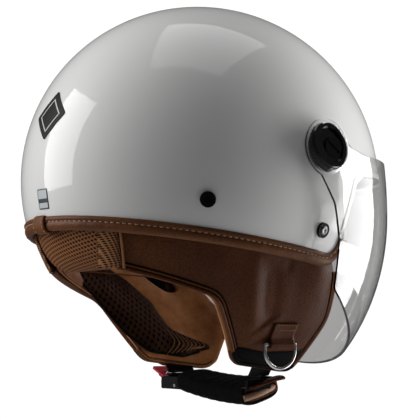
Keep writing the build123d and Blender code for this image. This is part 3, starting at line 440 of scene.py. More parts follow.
def leather(name, dark, light, rough=(0.40, 0.55), pebble=820.0, depth=0.00022, shine=0.22):
    f = Finish(name, light, 0.5, Specular_IOR_Level=shine)
    broad = f.noise(16.0, 5.0)
    grain = f.cells(pebble)
    tone = f.ramp(broad, dark, light, 0.32, 0.68)
    f.color(f.mix(f.ramp(grain, (0.0, 0.0, 0.0), (0.45, 0.45, 0.45), 0.35, 0.75), tone, tint(dark, 0.45)))
    f.roughness(broad, *rough)
    f.bump(f.math("MULTIPLY", grain, -1.0), depth, 0.7)
    f.bump(f.noise(2400.0, 3.0), 0.00008, 0.5)
    f.bump(f.noise(120.0, 3.0), 0.0003, 0.35)
    return f.material


def suede():
    f = Finish("brown_suede", (0.30, 0.14, 0.06), 0.95, Sheen_Weight=0.25, Sheen_Roughness=0.5,
               Specular_IOR_Level=0.15)
    nap = f.noise(90.0, 6.0, 0.65)
    fine = f.noise(1800.0, 3.0, 0.7)
    tone = f.ramp(nap, (0.30, 0.098, 0.026), (0.56, 0.215, 0.065), 0.3, 0.72)
    f.color(f.mix(f.math("MULTIPLY", fine, 0.35), tone, (0.13, 0.05, 0.02)))
    f.bump(fine, 0.0003, 0.6)
    return f.material


def spacer_mesh(name, across, along, thread, hole, turn=0.0, open_share=0.05, shine=0.1):
    """Knitted spacer mesh: staggered round holes in a field of thread, by the piece's size in mm. The holes
    are painted near black, as painted shade in their depth.
    """
    f = Finish(name, thread, 0.7, Specular_IOR_Level=shine)
    mapping = f.node("Mapping", Rotation=(0, 0, turn))
    f.link(f.place("UV"), mapping.inputs["Vector"])
    parts = f.split(mapping.outputs[0])
    web = f.math("MULTIPLY", f.wave("COSINE", parts[0], across), f.wave("COSINE", parts[1], along))
    fibre = f.noise(1500.0, 3.0)
    shifted = f.math("ADD", f.math("MULTIPLY", web, 0.5), 0.5)
    mask = f.ramp(shifted, (1, 1, 1), (0, 0, 0), 0.50 + open_share, 0.66 + open_share)
    # The holes' near black colour is painted shade in their depth.
    f.color(f.mix(mask, hole, f.mix(fibre, tint(thread, 0.6), tint(thread, 1.35))))
    f.bump(mask, 0.0011, 0.9)
    f.bump(fibre, 0.0002, 0.4)
    return f.material


def woven(name, tone, pitch=0.9, rough=0.7, depth=0.00022):
    """Plain woven band or webbing, by the piece's size in mm."""
    f = Finish(name, tone, rough, Specular_IOR_Level=0.06)
    parts = f.split(f.place("UV"))
    web = f.math("MULTIPLY", f.wave("SINE", parts[0], pitch), f.wave("SINE", parts[1], pitch * 1.6))
    f.color(f.mix(f.math("ADD", f.math("MULTIPLY", web, 0.4), 0.5), tint(tone, 0.4), tint(tone, 1.8)))
    f.bump(web, depth, 0.8)
    f.bump(f.noise(900.0, 3.0), 0.0002, 0.4)
    return f.material


def plastic(name, tone, rough, grain=0.00003, **sockets):
    f = Finish(name, tone, rough, **sockets)
    spots = f.noise(500.0, 3.0)
    f.color(f.mix(f.noise(40.0, 3.0), tint(tone, 0.85), tint(tone, 1.12)))
    f.roughness(spots, rough * 0.85, rough * 1.2)
    f.bump(spots, grain, 0.5)
    return f.material


def metal(name, tone, rough, grain=0.00002):
    f = Finish(name, tone, rough, 1.0)
    wear = f.noise(700.0, 4.0)
    f.color(f.mix(wear, tint(tone, 0.8), tone))
    f.roughness(wear, rough * 0.7, rough * 1.4)
    f.bump(wear, grain, 0.5)
    return f.material


def clear_plastic():
    f = Finish("clear_plastic", (0.985, 0.99, 0.99), 0.012, IOR=1.49, Transmission_Weight=1.0)
    f.roughness(f.noise(60.0, 3.0), 0.005, 0.02)
    return f.material


def foam():
    f = Finish("foam_liner", (0.03, 0.03, 0.03), 0.85)
    beads = f.cells(330.0)
    f.color(f.ramp(beads, (0.05, 0.05, 0.052), (0.012, 0.012, 0.012), 0.2, 0.8))
    f.bump(f.math("MULTIPLY", beads, -1.0), 0.0006, 0.7)
    return f.material


def emblem():
    """A plain badge: a black square, standing on a corner, with a thin light frame."""
    f = Finish("emblem_print", (0.01, 0.01, 0.01), 0.5, Specular_IOR_Level=0.1)
    x, z = f.from_centre(-0.0065, 0.0383)
    u = f.math("MULTIPLY", f.math("ADD", x, z), 0.7071)
    v = f.math("MULTIPLY", f.math("SUBTRACT", z, x), 0.7071)
    reach = f.math("MAXIMUM", f.math("ABSOLUTE", u), f.math("ABSOLUTE", v))
    line = f.math("MULTIPLY", f.math("GREATER_THAN", reach, 0.0074), f.math("LESS_THAN", reach, 0.0083))
    f.color(f.mix(line, (0.006, 0.006, 0.006), (0.60, 0.60, 0.58)))
    return f.material


def label():
    """A plain grey label: a thin dark border and one dark band."""
    f = Finish("label_film", (0.3, 0.33, 0.38), 0.4, Specular_IOR_Level=0.3)
    x, z = f.from_centre(-0.0065, -0.0186)
    border = f.math("MAXIMUM", f.math("GREATER_THAN", f.math("ABSOLUTE", x), 0.0053),
                    f.math("GREATER_THAN", f.math("ABSOLUTE", z), 0.0060))
    band = f.math("LESS_THAN", f.math("ABSOLUTE", f.math("ADD", z, 0.0012)), 0.0014)
    f.color(f.mix(f.math("MAXIMUM", border, band), (0.50, 0.54, 0.56), (0.035, 0.04, 0.045)))
    return f.material


PAINT = shell_paint()
BROWN = leather("brown_leather", (0.056, 0.0155, 0.0042), (0.118, 0.036, 0.0095), shine=0.09)
# A darker copy of the tan leather, as painted shade: the flaps' rear piping lies in shade. The flaps' low
# binding uses it too.
SHADED_TAN = leather("shaded_tan_leather", (0.075, 0.022, 0.006), (0.16, 0.052, 0.014), shine=0.12)
TRIM = leather("trim_leather", (0.105, 0.034, 0.011), (0.190, 0.068, 0.021), pebble=1000.0,
               depth=0.00014, shine=0.16)
TAN = leather("tan_leather", (0.105, 0.032, 0.009), (0.200, 0.066, 0.020), pebble=1100.0,
              depth=0.0001, shine=0.15)
ROLLED = leather("rolled_tan_leather", (0.30, 0.17, 0.11), (0.42, 0.26, 0.17), pebble=1100.0, depth=0.0001)
SUEDE = suede()
# Each spacer mesh's second colour is the painted shade inside its holes.
NECK_MESH = spacer_mesh("neck_mesh", 4.8, 3.3, (0.25, 0.098, 0.036), (0.008, 0.003, 0.002), 0.42, 0.05)
CHEEK_MESH = spacer_mesh("cheek_mesh", 4.9, 7.0, (0.036, 0.0115, 0.0045), (0.0012, 0.0006, 0.0005), 0.25,
                         0.06, 0.05)
EDGE_MESH = spacer_mesh("edge_mesh", 2.6, 1.9, (0.27, 0.115, 0.045), (0.010, 0.004, 0.002), -0.42, 0.0)
RIB = woven("mesh_rib", (0.30, 0.135, 0.060), 0.5, 0.6)
BAND = woven("black_band", (0.0016, 0.0014, 0.0014), 0.8)
WEBBING = woven("black_webbing", (0.0035, 0.0035, 0.004), 1.0)
PADDING = woven("black_padding", (0.0018, 0.0017, 0.0017), 0.6, 0.75)
CROWN = woven("crown_cloth", (0.05, 0.04, 0.034), 1.6, 0.85)
THREAD = woven("stitch_thread", (0.50, 0.31, 0.20), 0.5, 0.6)
DARK_THREAD = woven("dark_thread", (0.24, 0.12, 0.065), 0.5, 0.6)
STEEL = metal("polished_steel", (0.66, 0.65, 0.63), 0.16)
ZINC = metal("plated_steel", (0.5, 0.5, 0.51), 0.3)
BLACK_STEEL = plastic("black_steel", (0.003, 0.003, 0.0033), 0.45, Specular_IOR_Level=0.1)
BLACK = plastic("black_plastic", (0.0035, 0.0035, 0.0038), 0.13, Specular_IOR_Level=0.45)
GREY_CAP = metal("rivet_grey", (0.16, 0.16, 0.165), 0.35)
MOULDING = plastic("edge_moulding", (0.74, 0.74, 0.73), 0.35)
NYLON = plastic("nylon_white", (0.72, 0.72, 0.70), 0.4)
RED = plastic("red_tab", (0.42, 0.006, 0.02), 0.35)
FOAM = foam()
CLEAR = clear_plastic()
EMBLEM = emblem()
LABEL = label()

for node, material in {
        "outer_shell": PAINT, "face_edge_moulding": MOULDING, "eps_liner": FOAM, "d_ring_right": STEEL,
        "d_ring_left": STEEL, "visor": CLEAR, "pivot_seats": NYLON, "pivot_bushes": NYLON,
        "pivot_covers": BLACK, "coin_screws": BLACK, "pivot_inserts": ZINC, "press_studs": BLACK_STEEL,
        "strap_rivets": BLACK_STEEL, "anchor_plates": ZINC, "back_emblem": EMBLEM, "back_label": LABEL,
        "buckle_frame": BLACK_STEEL, "buckle_tongue": BLACK, "buckle_lever": BLACK, "lever_pin": ZINC,
        "lever_spring": ZINC, "pull_tab": RED, "pull_tab_rivet": STEEL, "webbing_right": WEBBING,
        "webbing_left": WEBBING, "chin_webbing": WEBBING}.items():
    for part_slot in nodes[node].material_slots:
        part_slot.material = material
    if not nodes[node].material_slots:
        nodes[node].data.materials.append(material)

# --- Rim trim, goggle keeper ---
RIM_CORNER = 9.0  # radius of the rim's corner, front and low


def rim_path(step=2.0):
    """The shell's rim from the front right corner round the back to the front left corner."""
    rear, corner, top = (12.0, rim_z(12.0)), (-38.5, rim_z(-38.5)), (-43.6, -30.0)
    arc = corner_arc(rear, corner, top, RIM_CORNER, count=9)
    up = [arc[-1] + unit(np.subtract(top, corner)) * t for t in np.linspace(0.5, 3.0, 3)]
    flat = [np.array([y, rim_z(y)]) for y in np.linspace(10.0, arc[0][0] + 1.0, 14)]
    y, z = np.array(flat + arc + up).T
    front = np.stack([-HALF_WIDTH * np.sqrt(1 - (y / HALF_LENGTH) ** 2 - (z / HALF_HEIGHT) ** 2), y, z], 1)
    back = []
    for angle in np.linspace(0, math.radians(86), 60):
        rho = 0.97
        for _ in range(30):
            z = rim_z(HALF_LENGTH * rho * math.cos(angle))
            rho = math.sqrt(1 - (z / HALF_HEIGHT) ** 2)
        y = HALF_LENGTH * rho * math.cos(angle)
        if y > rear[0]:
            back.append((-HALF_WIDTH * rho * math.sin(angle), y, rim_z(y)))
    half_line = np.vstack([front[::-1], np.array(back)[::-1]])
    other = half_line[::-1][1:] * np.array([-1, 1, 1])
    return resample(np.vstack([half_line, other]), step)


def dome_normal(points):
    """Outward direction of the shell's ellipsoid."""
    return unit(points / np.array([HALF_WIDTH, HALF_LENGTH, HALF_HEIGHT]) ** 2)


rim = rim_path()
rim_normals = dome_normal(rim)
TRIM_PROFILE = np.array([
    (0.10, -3.4), (0.10, 0.2), (0.35, 1.1), (1.1, 1.75), (2.1, 1.9), (2.9, 1.55), (3.4, 0.95),
    (3.9, 1.6), (5.0, 2.25), (6.6, 2.5), (8.2, 2.2), (9.5, 1.3), (10.2, -0.1), (10.2, -1.6),
    (9.4, -3.2), (5.0, -3.55)])
TRIM_PROFILE[:, 1] -= TRIM_PROFILE[:, 0] ** 2 / 260.0
count = len(rim)
trim_sign = 1.0
rings = sweep_rings(rim, rim_normals, TRIM_PROFILE)
if (rings[count // 2, 12] - rings[count // 2, 1])[2] > 0:
    trim_sign = -1.0
    rings = sweep_rings(rim, rim_normals, TRIM_PROFILE * np.array([trim_sign, 1]))
puff = np.sin(np.arange(count) * 0.9) * 0.10 + np.sin(np.arange(count) * 2.3) * 0.07
rings[:, 7:12] += rim_normals[:, None, :] * puff[:, None, None]
rim_trim = loft("rim_trim_leather", rings, TRIM)
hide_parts("rim_trim")
seam = sweep_rings(rim, rim_normals, [(3.4 * trim_sign, 1.05)])[:, 0]
stitches("rim_trim_stitches", seam, rim_normals, THREAD, 4.1, 2.7, 0.42, 0.25)

KEEPER_LINE = np.array([
    (-0.6, 1.0), (-0.3, 1.8), (0.4, 2.6), (1.6, 3.4), (3.2, 3.9), (5.6, 4.4), (8.0, 4.3), (10.2, 3.3),
    (11.6, 1.4), (11.9, -0.8), (11.4, -2.6), (10.2, -4.3)])
KEEPER_HALF_WIDTH, KEEPER_THICK, KEEPER_SEAM_X = 7.2, 1.5, 5.6
KEEPER_Z = rim_z(131.0) + 0.35


def keeper_point(d, n, x):
    """A point of the keeper, d below the rim line and n out from the shell, at x from its middle."""
    z = KEEPER_Z - d
    base = np.array([x, HALF_LENGTH * math.sqrt(1 - (x / HALF_WIDTH) ** 2 - (z / HALF_HEIGHT) ** 2), z])
    return base + dome_normal(base) * n


path = resample(KEEPER_LINE, 0.8)
ways = unit(np.gradient(path, axis=0))
inwards = np.stack([-ways[:, 1], ways[:, 0]], 1)
if inwards[len(inwards) // 2, 1] > 0:
    inwards = -inwards
keeper_rings = []
for here, way in zip(path, inwards):
    top_row, low_row = [], []
    for x in np.linspace(-KEEPER_HALF_WIDTH, KEEPER_HALF_WIDTH, 13):
        edge = 0.25 * (abs(x) / KEEPER_HALF_WIDTH) ** 6
        top_row.append(keeper_point(*(here + way * edge), x))
        low_row.append(keeper_point(*(here + way * (KEEPER_THICK - edge)), x))
    keeper_rings.append(top_row + low_row[::-1])
keeper = loft("goggle_keeper_leather", keeper_rings, TRIM)
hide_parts("goggle_loop")
for k, x in enumerate((-KEEPER_SEAM_X, KEEPER_SEAM_X)):
    line = np.array([keeper_point(*here, x) for here in path[1:-4]])
    stitches(f"keeper_stitches_{k}", line, dome_normal(line), THREAD, 3.2, 2.1, 0.3, 0.15)

# --- Neck roll ---
NECK_PROFILE = [
    (5.6, -21.5), (5.5, -30.0), (5.4, -38.0), (5.2, -46.0), (5.6, -54.0), (7.6, -61.0), (11.5, -65.4),
    (16.5, -65.6), (21.0, -61.0), (23.3, -52.0), (23.8, -40.0), (23.0, -28.0), (20.0, -23.6), (12.0, -22.6)]
NECK_MIDDLE = 14.6  # inset of the roll's middle, from which grow counts
NECK_END = 38.0  # degrees from the back centre
NECK_LIFT, NECK_LIFT_Z = 12.0, -45.0  # how its lower part rises towards its ends


def neck_rings(first, last, count, grow=0.0):
    """Rings of the padded roll between two angles from the back centre, in degrees."""
    out = []
    for angle in np.radians(np.linspace(first, last, count)):
        ring = []
        for inset, z in NECK_PROFILE:
            lift = 0.0 if z > NECK_LIFT_Z else (1 - math.cos(angle)) * NECK_LIFT
            radius = float(surface_radius(z + lift, NECK_MIDDLE - (NECK_MIDDLE - inset) * (1 + grow)))
            ring.append((WIDTH_RATIO * radius * math.sin(angle), radius * math.cos(angle), z + lift))
        out.append(ring)
    return np.array(out)


def smooth_rings(rings, turns=2):
    """Rings with more points, on a smooth curve: each turn adds one between each pair."""
    for _ in range(turns):
        behind, ahead, ahead2 = (np.roll(rings, k, axis=1) for k in (1, -1, -2))
        middle = (9 * (rings + ahead) - behind - ahead2) / 16
        rings = np.stack([rings, middle], 2).reshape(rings.shape[0], -1, 3)
    return rings


neck = loft("neck_roll_mesh", smooth_rings(neck_rings(-NECK_END, NECK_END, 61)), NECK_MESH)
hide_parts("neck_roll")
for side, tag in SIDES:
    end_rings = neck_rings(side * (NECK_END - 1.4), side * (NECK_END + 0.9), 5, 0.03)
    band = loft(f"neck_end_band_{tag}", smooth_rings(end_rings), TAN)

# --- Crown pad ---
CROWN_SPOKES, CROWN_RINGS = 144, 60
CROWN_TOP = 0.012  # drop of the first ring, which a small cap closes
CROWN_OUTER, CROWN_INNER = 26.0, 26.4  # insets of the back, and of the cloth at its lower edge
CROWN_QUILT = 30.0
CROWN_CLOTH = 150.0  # length of cloth from the top to the edge


def crown_ring(drop, inset):
    """A ring of the crown pad's dome, from the top (0) to its lower edge (1)."""
    turn = np.linspace(0, 2 * math.pi, CROWN_SPOKES, endpoint=False)
    edge = np.interp(100.0 * np.cos(turn), [-134.0, -48.0, -30.0, 134.0], [14.0, 10.0, -12.0, -12.0])
    height = HALF_HEIGHT - inset
    tilt = math.pi / 2 + (np.arcsin(edge / height) - math.pi / 2) * drop
    reach = (HALF_LENGTH - inset) * np.cos(tilt)
    return np.stack([WIDTH_RATIO * reach * np.sin(turn), reach * np.cos(turn), height * np.sin(tilt)], 1)


def crown_inset(drop):
    """Inner inset of the pad: quilted cushions, rolled at the lower edge."""
    flat = crown_ring(drop, 30.0)
    quilt = np.abs(np.sin(math.pi * (flat[:, 0] + flat[:, 1]) / CROWN_QUILT)
                   * np.sin(math.pi * (flat[:, 0] - flat[:, 1]) / CROWN_QUILT))
    return CROWN_INNER + (2.6 + 3.2 * quilt ** 0.4) * math.sqrt(smooth((1.0 - drop) / 0.05))


crown_points, crown_uvs, crown_faces = [], [], []
for layer in (0, 1):
    start = layer * CROWN_RINGS * CROWN_SPOKES
    for i, drop in enumerate(np.linspace(CROWN_TOP, 1.0, CROWN_RINGS)):
        ring = crown_ring(drop, crown_inset(drop) if layer else CROWN_OUTER)
        crown_points.append(ring)
        spread = CROWN_CLOTH * drop / np.maximum(np.hypot(ring[:, 0], ring[:, 1]), 1e-6)
        crown_uvs.append(ring[:, :2] * spread[:, None])
        a, b = start + i * CROWN_SPOKES, start + (i + 1) * CROWN_SPOKES
        for j in range(CROWN_SPOKES if i < CROWN_RINGS - 1 else 0):
            n = (j + 1) % CROWN_SPOKES
            quad = (a + j, b + j, b + n, a + n)
            crown_faces.append(quad if layer else quad[::-1])
    cap = tuple(start + j for j in range(CROWN_SPOKES))
    crown_faces.append(cap if layer else cap[::-1])
outer_edge, inner_edge = (CROWN_RINGS - 1) * CROWN_SPOKES, (2 * CROWN_RINGS - 1) * CROWN_SPOKES
for j in range(CROWN_SPOKES):
    n = (j + 1) % CROWN_SPOKES
    crown_faces.append((outer_edge + j, outer_edge + n, inner_edge + n, inner_edge + j))
crown = make_piece("crown_pad_cloth", np.vstack(crown_points), crown_faces, CROWN,
                   uvs=np.vstack(crown_uvs))
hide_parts("crown_pad")

# --- Ear flaps ---
FLAP_POINTS = [
    (113.5, -24.5), (102.5, -64.5), (42.0, -85.0), (14.0, -129.0), (-40.0, -136.0),
    (-64.5, -100.0), (-47.5, -60.0), (-44.0, -48.0), (0.0, -48.0), (6.0, -38.5)]
FLAP_RADII = [2.0, 3.0, 22.0, 13.0, 16.0, 16.0, 8.0, 3.0, 3.0, 3.0]
flap_outline = rounded(FLAP_POINTS, FLAP_RADII, 1.5)


def shrink(outline, amount):
    """The outline moved inwards."""
    ahead, behind = np.roll(outline, -1, 0), np.roll(outline, 1, 0)
    tangent = unit(ahead - behind)
    normal = np.stack([-tangent[:, 1], tangent[:, 0]], 1)
    area = 0.5 * np.sum(outline[:, 0] * ahead[:, 1] - outline[:, 1] * ahead[:, 0])
    moved = outline + normal * amount * (1 if area > 0 else -1)
    keep = edge_distance(moved, outline) > amount * 0.97
    return resample(moved[keep], 1.5, closed=True)


leather_outline = shrink(flap_outline, 3.4)
LINING_POINTS = [(97.5, -24.5), (94.5, -63.0)] + FLAP_POINTS[2:]
lining_outline = shrink(rounded(LINING_POINTS, FLAP_RADII, 1.5), 1.2)
BAND_TOP = [(60.0, -116.5), (19.0, -117.0), (-9.0, -121.0), (-30.0, -120.5), (-80.0, -117.0)]


def band_line(y):
    """Height of the black band's upper edge."""
    ys, zs = zip(*BAND_TOP[::-1])
    return np.interp(y, ys, zs)


def flap_front(y, z, distance):
    """Outer inset of the flap's leather: padded, with a ridge and creases that run to the D-ring tab."""
    fade = smooth(distance / 14.0)
    puff = 1.5 * smooth(distance / 16.0) * smooth((z + 126.0) / 26.0)
    along = y - 12.0 - (z + 105.0) * 0.26
    ridge = 1.7 * np.exp(-(along / 6.0) ** 2) * smooth((z + 118.0) / 22.0) * smooth((-52.0 - z) / 14.0)
    valley = (-2.9 * np.exp(-((along + 14.0) / 7.5) ** 2) * smooth((z + 108.0) / 20.0)
              * smooth((-58.0 - z) / 14.0))
    bulge = 1.5 * np.exp(-((y + 26.0) / 13.0) ** 2 - ((z + 78.0) / 17.0) ** 2)
    reach = (y + 2.0) * 0.80 - (z + 98.0) * 0.60
    cross = (y + 2.0) * 0.60 + (z + 98.0) * 0.80
    crease = -1.0 * np.exp(-(cross / 1.8) ** 2 - ((reach - 7.0) / 11.0) ** 2)
    lip = 1.0 * np.exp(-((cross + 4.0) / 3.4) ** 2 - ((reach - 7.0) / 11.0) ** 2)
    dimple = -1.1 * np.exp(-((y + 4.0) / 3.0) ** 2 - ((z + 63.0) / 3.4) ** 2)
    relief = puff + fade * (ridge + valley + bulge + crease + lip) + dimple
    return FLAP_INSET + 0.05 - np.maximum(relief, -0.6)


SLIT_CENTRE, SLIT_TURN, SLIT_HALF_LENGTH = np.array([-17.0, -66.5]), math.radians(28), 17.0
slit = [SLIT_CENTRE + turned(SLIT_HALF_LENGTH * math.cos(t), (5.4 - 2.6 * math.cos(t)) * math.sin(t),
                             SLIT_TURN) for t in np.linspace(0, 2 * math.pi, 48, endpoint=False)]
slit = resample(np.array(slit), 1.2, closed=True)

CHEEK_POINTS = [
    (81.0, -57.5), (53.0, -79.5), (27.5, -108.5), (9.0, -121.5), (-18.0, -125.5), (-46.0, -119.0),
    (-14.0, -105.0), (-5.0, -84.0), (12.0, -68.0), (36.0, -54.0)]
cheek_outline = rounded(CHEEK_POINTS, [5, 10, 10, 8, 8, 2, 14, 10, 10, 5], 1.6)
REAR_POINTS = [(96.0, -40.0), (95.0, -63.5), (64.0, -74.5), (61.0, -70.0), (66.0, -56.0), (72.0, -40.0)]
rear_outline = rounded(REAR_POINTS, [2, 3, 2, 2, 3, 2], 1.6)
PAD_BACK = 13.0  # inset of the cheek pads' edge
RIB_COUNT, RIB_BOW = 8, (-3.2, 0.0)


def cheek_back(_y, _z, distance):
    """Inner face of the left cheek pad: a full cushion with a rolled edge."""
    return PAD_BACK + 9.5 * np.sqrt(smooth(distance / 13.0)) + 0.8 * smooth(distance / 26.0)


def cheek_back_worn(_y, _z, distance):
    """Inner face of the right cheek pad, which lies flatter at its edge."""
    return PAD_BACK + 9.5 * smooth(distance / 24.0)


def part_of(outline, test):
    """The longest run of outline points that pass a test."""
    keep = np.array([test(p) for p in outline])
    if keep.all():
        return outline
    first = int(np.argmin(keep))
    order = np.roll(np.arange(len(outline)), -first)
    runs = [[]]
    for k in order:
        if keep[k]:
            runs[-1].append(k)
        else:
            runs.append([])
    return outline[max(runs, key=len)]


for side, tag in SIDES:
    flap = panel(f"ear_flap_leather_{tag}", leather_outline, side, flap_front, FLAP_BACK, BROWN, 1.8)
    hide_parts(f"ear_flap_{tag}")
    low_points = shrink(flap_outline, 3.2)
    band_edge = low_points[low_points[:, 1] < band_line(low_points[:, 0])]
    ys = np.linspace(band_edge[:, 0].min() + 0.5, band_edge[:, 0].max() - 0.5, 40)
    top = np.stack([ys, band_line(ys)], 1)
    ring = part_of(low_points, lambda p: p[1] < band_line(p[0]))
    if ring[0, 0] > ring[-1, 0]:
        ring = ring[::-1]
    band_outline = resample(np.vstack([ring, top[::-1][1:-1]]), 1.6, closed=True)
    band = panel(f"flap_band_weave_{tag}", band_outline, side,
                 lambda y, z, d: flap_front(y, z, np.full_like(y, 6.0)) - 0.65 - 0.25 * smooth(d / 2.0),
                 4.4, BAND, 1.8)
    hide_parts(f"flap_band_{tag}")
    lines = [part_of(shrink(flap_outline, amount), lambda p: p[1] < rim_z(p[0]) - 9.6 and p[0] < 98.0)
             for amount in (1.8, 3.7, 4.5)]
    roll = lines[0]
    if roll[0, 0] < roll[-1, 0]:
        roll = roll[::-1]
    first = np.nonzero(roll[:, 1] < -120.5)[0][0]
    last = np.nonzero(roll[:, 1] < -130.5)[0][-1]
    # The rear piping gets the shaded tan, as painted shade, and the front piping the plain tan, though it
    # is one piping.
    piping = tube(f"flap_piping_leather_{tag}", on_shell(roll[:first + 1], 5.4, side), 1.5, SHADED_TAN,
                  flat=1.5)
    front_piping = tube(f"flap_piping_front_{tag}", on_shell(roll[last:], 5.6, side), 2.2, TAN,
                        flat=1.25)
    bound = tube(f"flap_band_edge_{tag}", on_shell(roll[first - 1:last + 2], 4.6, side), 1.7, BAND,
                 flat=1.2)
    low_binding = tube(f"flap_low_binding_{tag}", on_shell(roll[first - 1:last + 2], 8.2, side), 1.7,
                       SHADED_TAN, flat=1.4)
    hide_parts(f"flap_piping_{tag}")
    tube(f"flap_piping_welt_{tag}", on_shell(part_of(lines[1], lambda p: p[1] > -129.0), 4.5, side), 0.6,
         TAN)
    # A thin black cord in the groove along the flap leather's edge, as painted shade.
    tube(f"flap_piping_groove_shade_{tag}", on_shell(lines[2], 4.1, side), 0.5, BAND)
    strip_outline = rounded([(115.0, -31.0), (107.5, -31.0), (96.5, -64.5), (104.0, -66.0)], [1.0] * 4, 1.4)
    strip = panel(f"neck_edge_strip_{tag}", strip_outline, side,
                  lambda y, z, d: 3.6 - 1.5 * np.sqrt(smooth(d / 3.0)), 4.6, EDGE_MESH, 1.4)
    border = resample(np.array([(107.0, -32.0), (96.0, -65.5)]), 1.5)
    tube(f"neck_edge_border_{tag}", on_shell(border, 2.4, side), 1.0, RIB, flat=0.6)
    lining = panel(f"flap_lining_suede_{tag}", lining_outline, side, 8.4,
                   lambda y, z, d: 10.2 + 1.7 * smooth(d / 7.0) + 0.25 * np.sin(y / 9.0) * np.sin(z / 11.0),
                   SUEDE, 2.0, hole=slit)
    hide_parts(f"flap_lining_{tag}")
    # The photo shows the left pad's inner face and ribs, and nothing of the right pad.
    pad_face = cheek_back if side > 0 else cheek_back_worn
    pad_outline = cheek_outline if side > 0 else shrink(cheek_outline, 8.0)
    cheek = panel(f"cheek_pad_mesh_{tag}", pad_outline, side, 12.45, pad_face, CHEEK_MESH, 1.6)
    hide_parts(f"cheek_pad_{tag}")
    # A thin black cord along the pad's lower edge, as painted shadow in the gap between the pad and the
    # flap's edge.
    low_edge = part_of(pad_outline, lambda p: p[1] < -55.0 - 0.575 * (84.0 - p[0]))
    tube(f"cheek_pad_edge_shadow_{tag}", on_shell(low_edge, PAD_BACK, side), 1.0, BAND)
    for k in range(RIB_COUNT if side > 0 else 0):
        start = np.array([-8.0 - 4.0 * k, -104.5 - 1.6 * k])
        end = np.array([-4.0 - 3.6 * k, -125.0 + 0.75 * k])
        arc = np.array([start + (end - start) * t + np.array(RIB_BOW) * math.sin(math.pi * t)
                        for t in np.linspace(0.04, 0.96, 22)])
        height = pad_face(arc[:, 0], arc[:, 1], edge_distance(arc, pad_outline))
        tube(f"cheek_pad_rib_{tag}_{k}", on_shell(arc, height + 0.1, side), 0.42, RIB)
    rear = panel(f"flap_rear_leather_{tag}", rear_outline, side, 12.4,
                 lambda y, z, d: 12.8 + 7.0 * np.sqrt(smooth(d / 9.0)), TAN, 1.8)

# --- D-ring tabs ---
RING_X, RING_Z, TAB_Y = 72.7, -115.5, -16.0
TAB_HALF_WIDTH, TAB_THICK = 10.2, 1.4
TAB_FOLD = 1.25 + 0.2  # inner radius: the ring's wire and its play
for side, tag in SIDES:
    rows = [("face", z) for z in np.linspace(-101.6, RING_Z + 1.2, 12)]
    rows += [("fold", a) for a in np.radians(np.linspace(60, -160, 12))]
    outer, inner = [], []
    for kind, value in rows:
        for y in np.linspace(TAB_Y - TAB_HALF_WIDTH, TAB_Y + TAB_HALF_WIDTH, 15):
            if kind == "face":
                z = value
                inset = float(flap_front(np.array([y]), np.array([z]), np.array([16.0]))[0])
                base = float(surface_x(y, z, inset)) + 0.15
                blend = float(smooth((-108.0 - z) / 6.0))
                x = base * (1 - blend) + max(base, RING_X + TAB_FOLD * 0.5) * blend
                outer.append((x + 1.55, y, z))
                inner.append((x, y, z))
            else:
                c, s = math.cos(value), math.sin(value)
                outer.append((RING_X + (TAB_FOLD + TAB_THICK) * c, y, RING_Z + (TAB_FOLD + TAB_THICK) * s))
                inner.append((RING_X + TAB_FOLD * c, y, RING_Z + TAB_FOLD * s))
    outer, inner = (np.array(skin).reshape(len(rows), -1, 3) for skin in (outer, inner))
    rings = np.concatenate([outer, inner[:, ::-1]], axis=1) * np.array([side, 1, 1])
    tab = loft(f"d_ring_tab_leather_{tag}", rings, BROWN)
    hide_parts(f"d_ring_tab_{tag}")
    face = outer * np.array([side, 1, 1])
    seams = {f"tab_seam_{tag}_0": face[1, 1:-1], f"tab_seam_{tag}_1": face[4, 1:-1],
             f"tab_side_seam_{tag}": face[1:11, 1]}
    for name, line in seams.items():
        stitches(name, resample(line, 1.0), (side, 0.0, 0.2), DARK_THREAD, 2.4, 1.9, 0.28, 0.12)

# --- Chin strap sleeve ---
CHIN = "chin_strap"
SLEEVE_HALF_WIDTH, SLEEVE_HALF_HEIGHT, SLEEVE_SQUARENESS = 15.6, 7.0, 0.62
SLEEVE_PUCKERS = 8.0
SLEEVE_SPOKES = 48


def sleeve_ring(t, shrinkage=0.0, wave=1.0, lip=0.0):
    """One oval of the sleeve, tilted and puckered, from its buckle end, t = 0, to its open end, t = 1."""
    centre = np.array([29.0 - 75.0 * t, -12.6 - 5.2 * t, -142.6 - 5.2 * t - 1.8 * math.sin(math.pi * t)])
    half_width = SLEEVE_HALF_WIDTH - shrinkage
    half_height = (SLEEVE_HALF_HEIGHT + 0.4 * t) - shrinkage
    out = []
    for a in np.linspace(0, 2 * math.pi, SLEEVE_SPOKES, endpoint=False):
        c, s = math.cos(a), math.sin(a)
        bulge = abs(math.sin(t * math.pi * SLEEVE_PUCKERS + 0.5 * math.sin(a))) ** 0.7
        pucker = wave * 0.9 * bulge * (0.35 + 0.65 * abs(s))
        y = np.sign(c) * (half_width * abs(c) ** SLEEVE_SQUARENESS + pucker * abs(c) * 0.6)
        z = np.sign(s) * (half_height * abs(s) ** SLEEVE_SQUARENESS + pucker * abs(s))
        x = lip * (max(0.0, -c) ** 2) * (0.4 + 0.6 * max(0.0, s))
        out.append(centre + np.array([-x, *turned(y, z, math.radians(-5.0 - 12.0 * t))]))
    return out


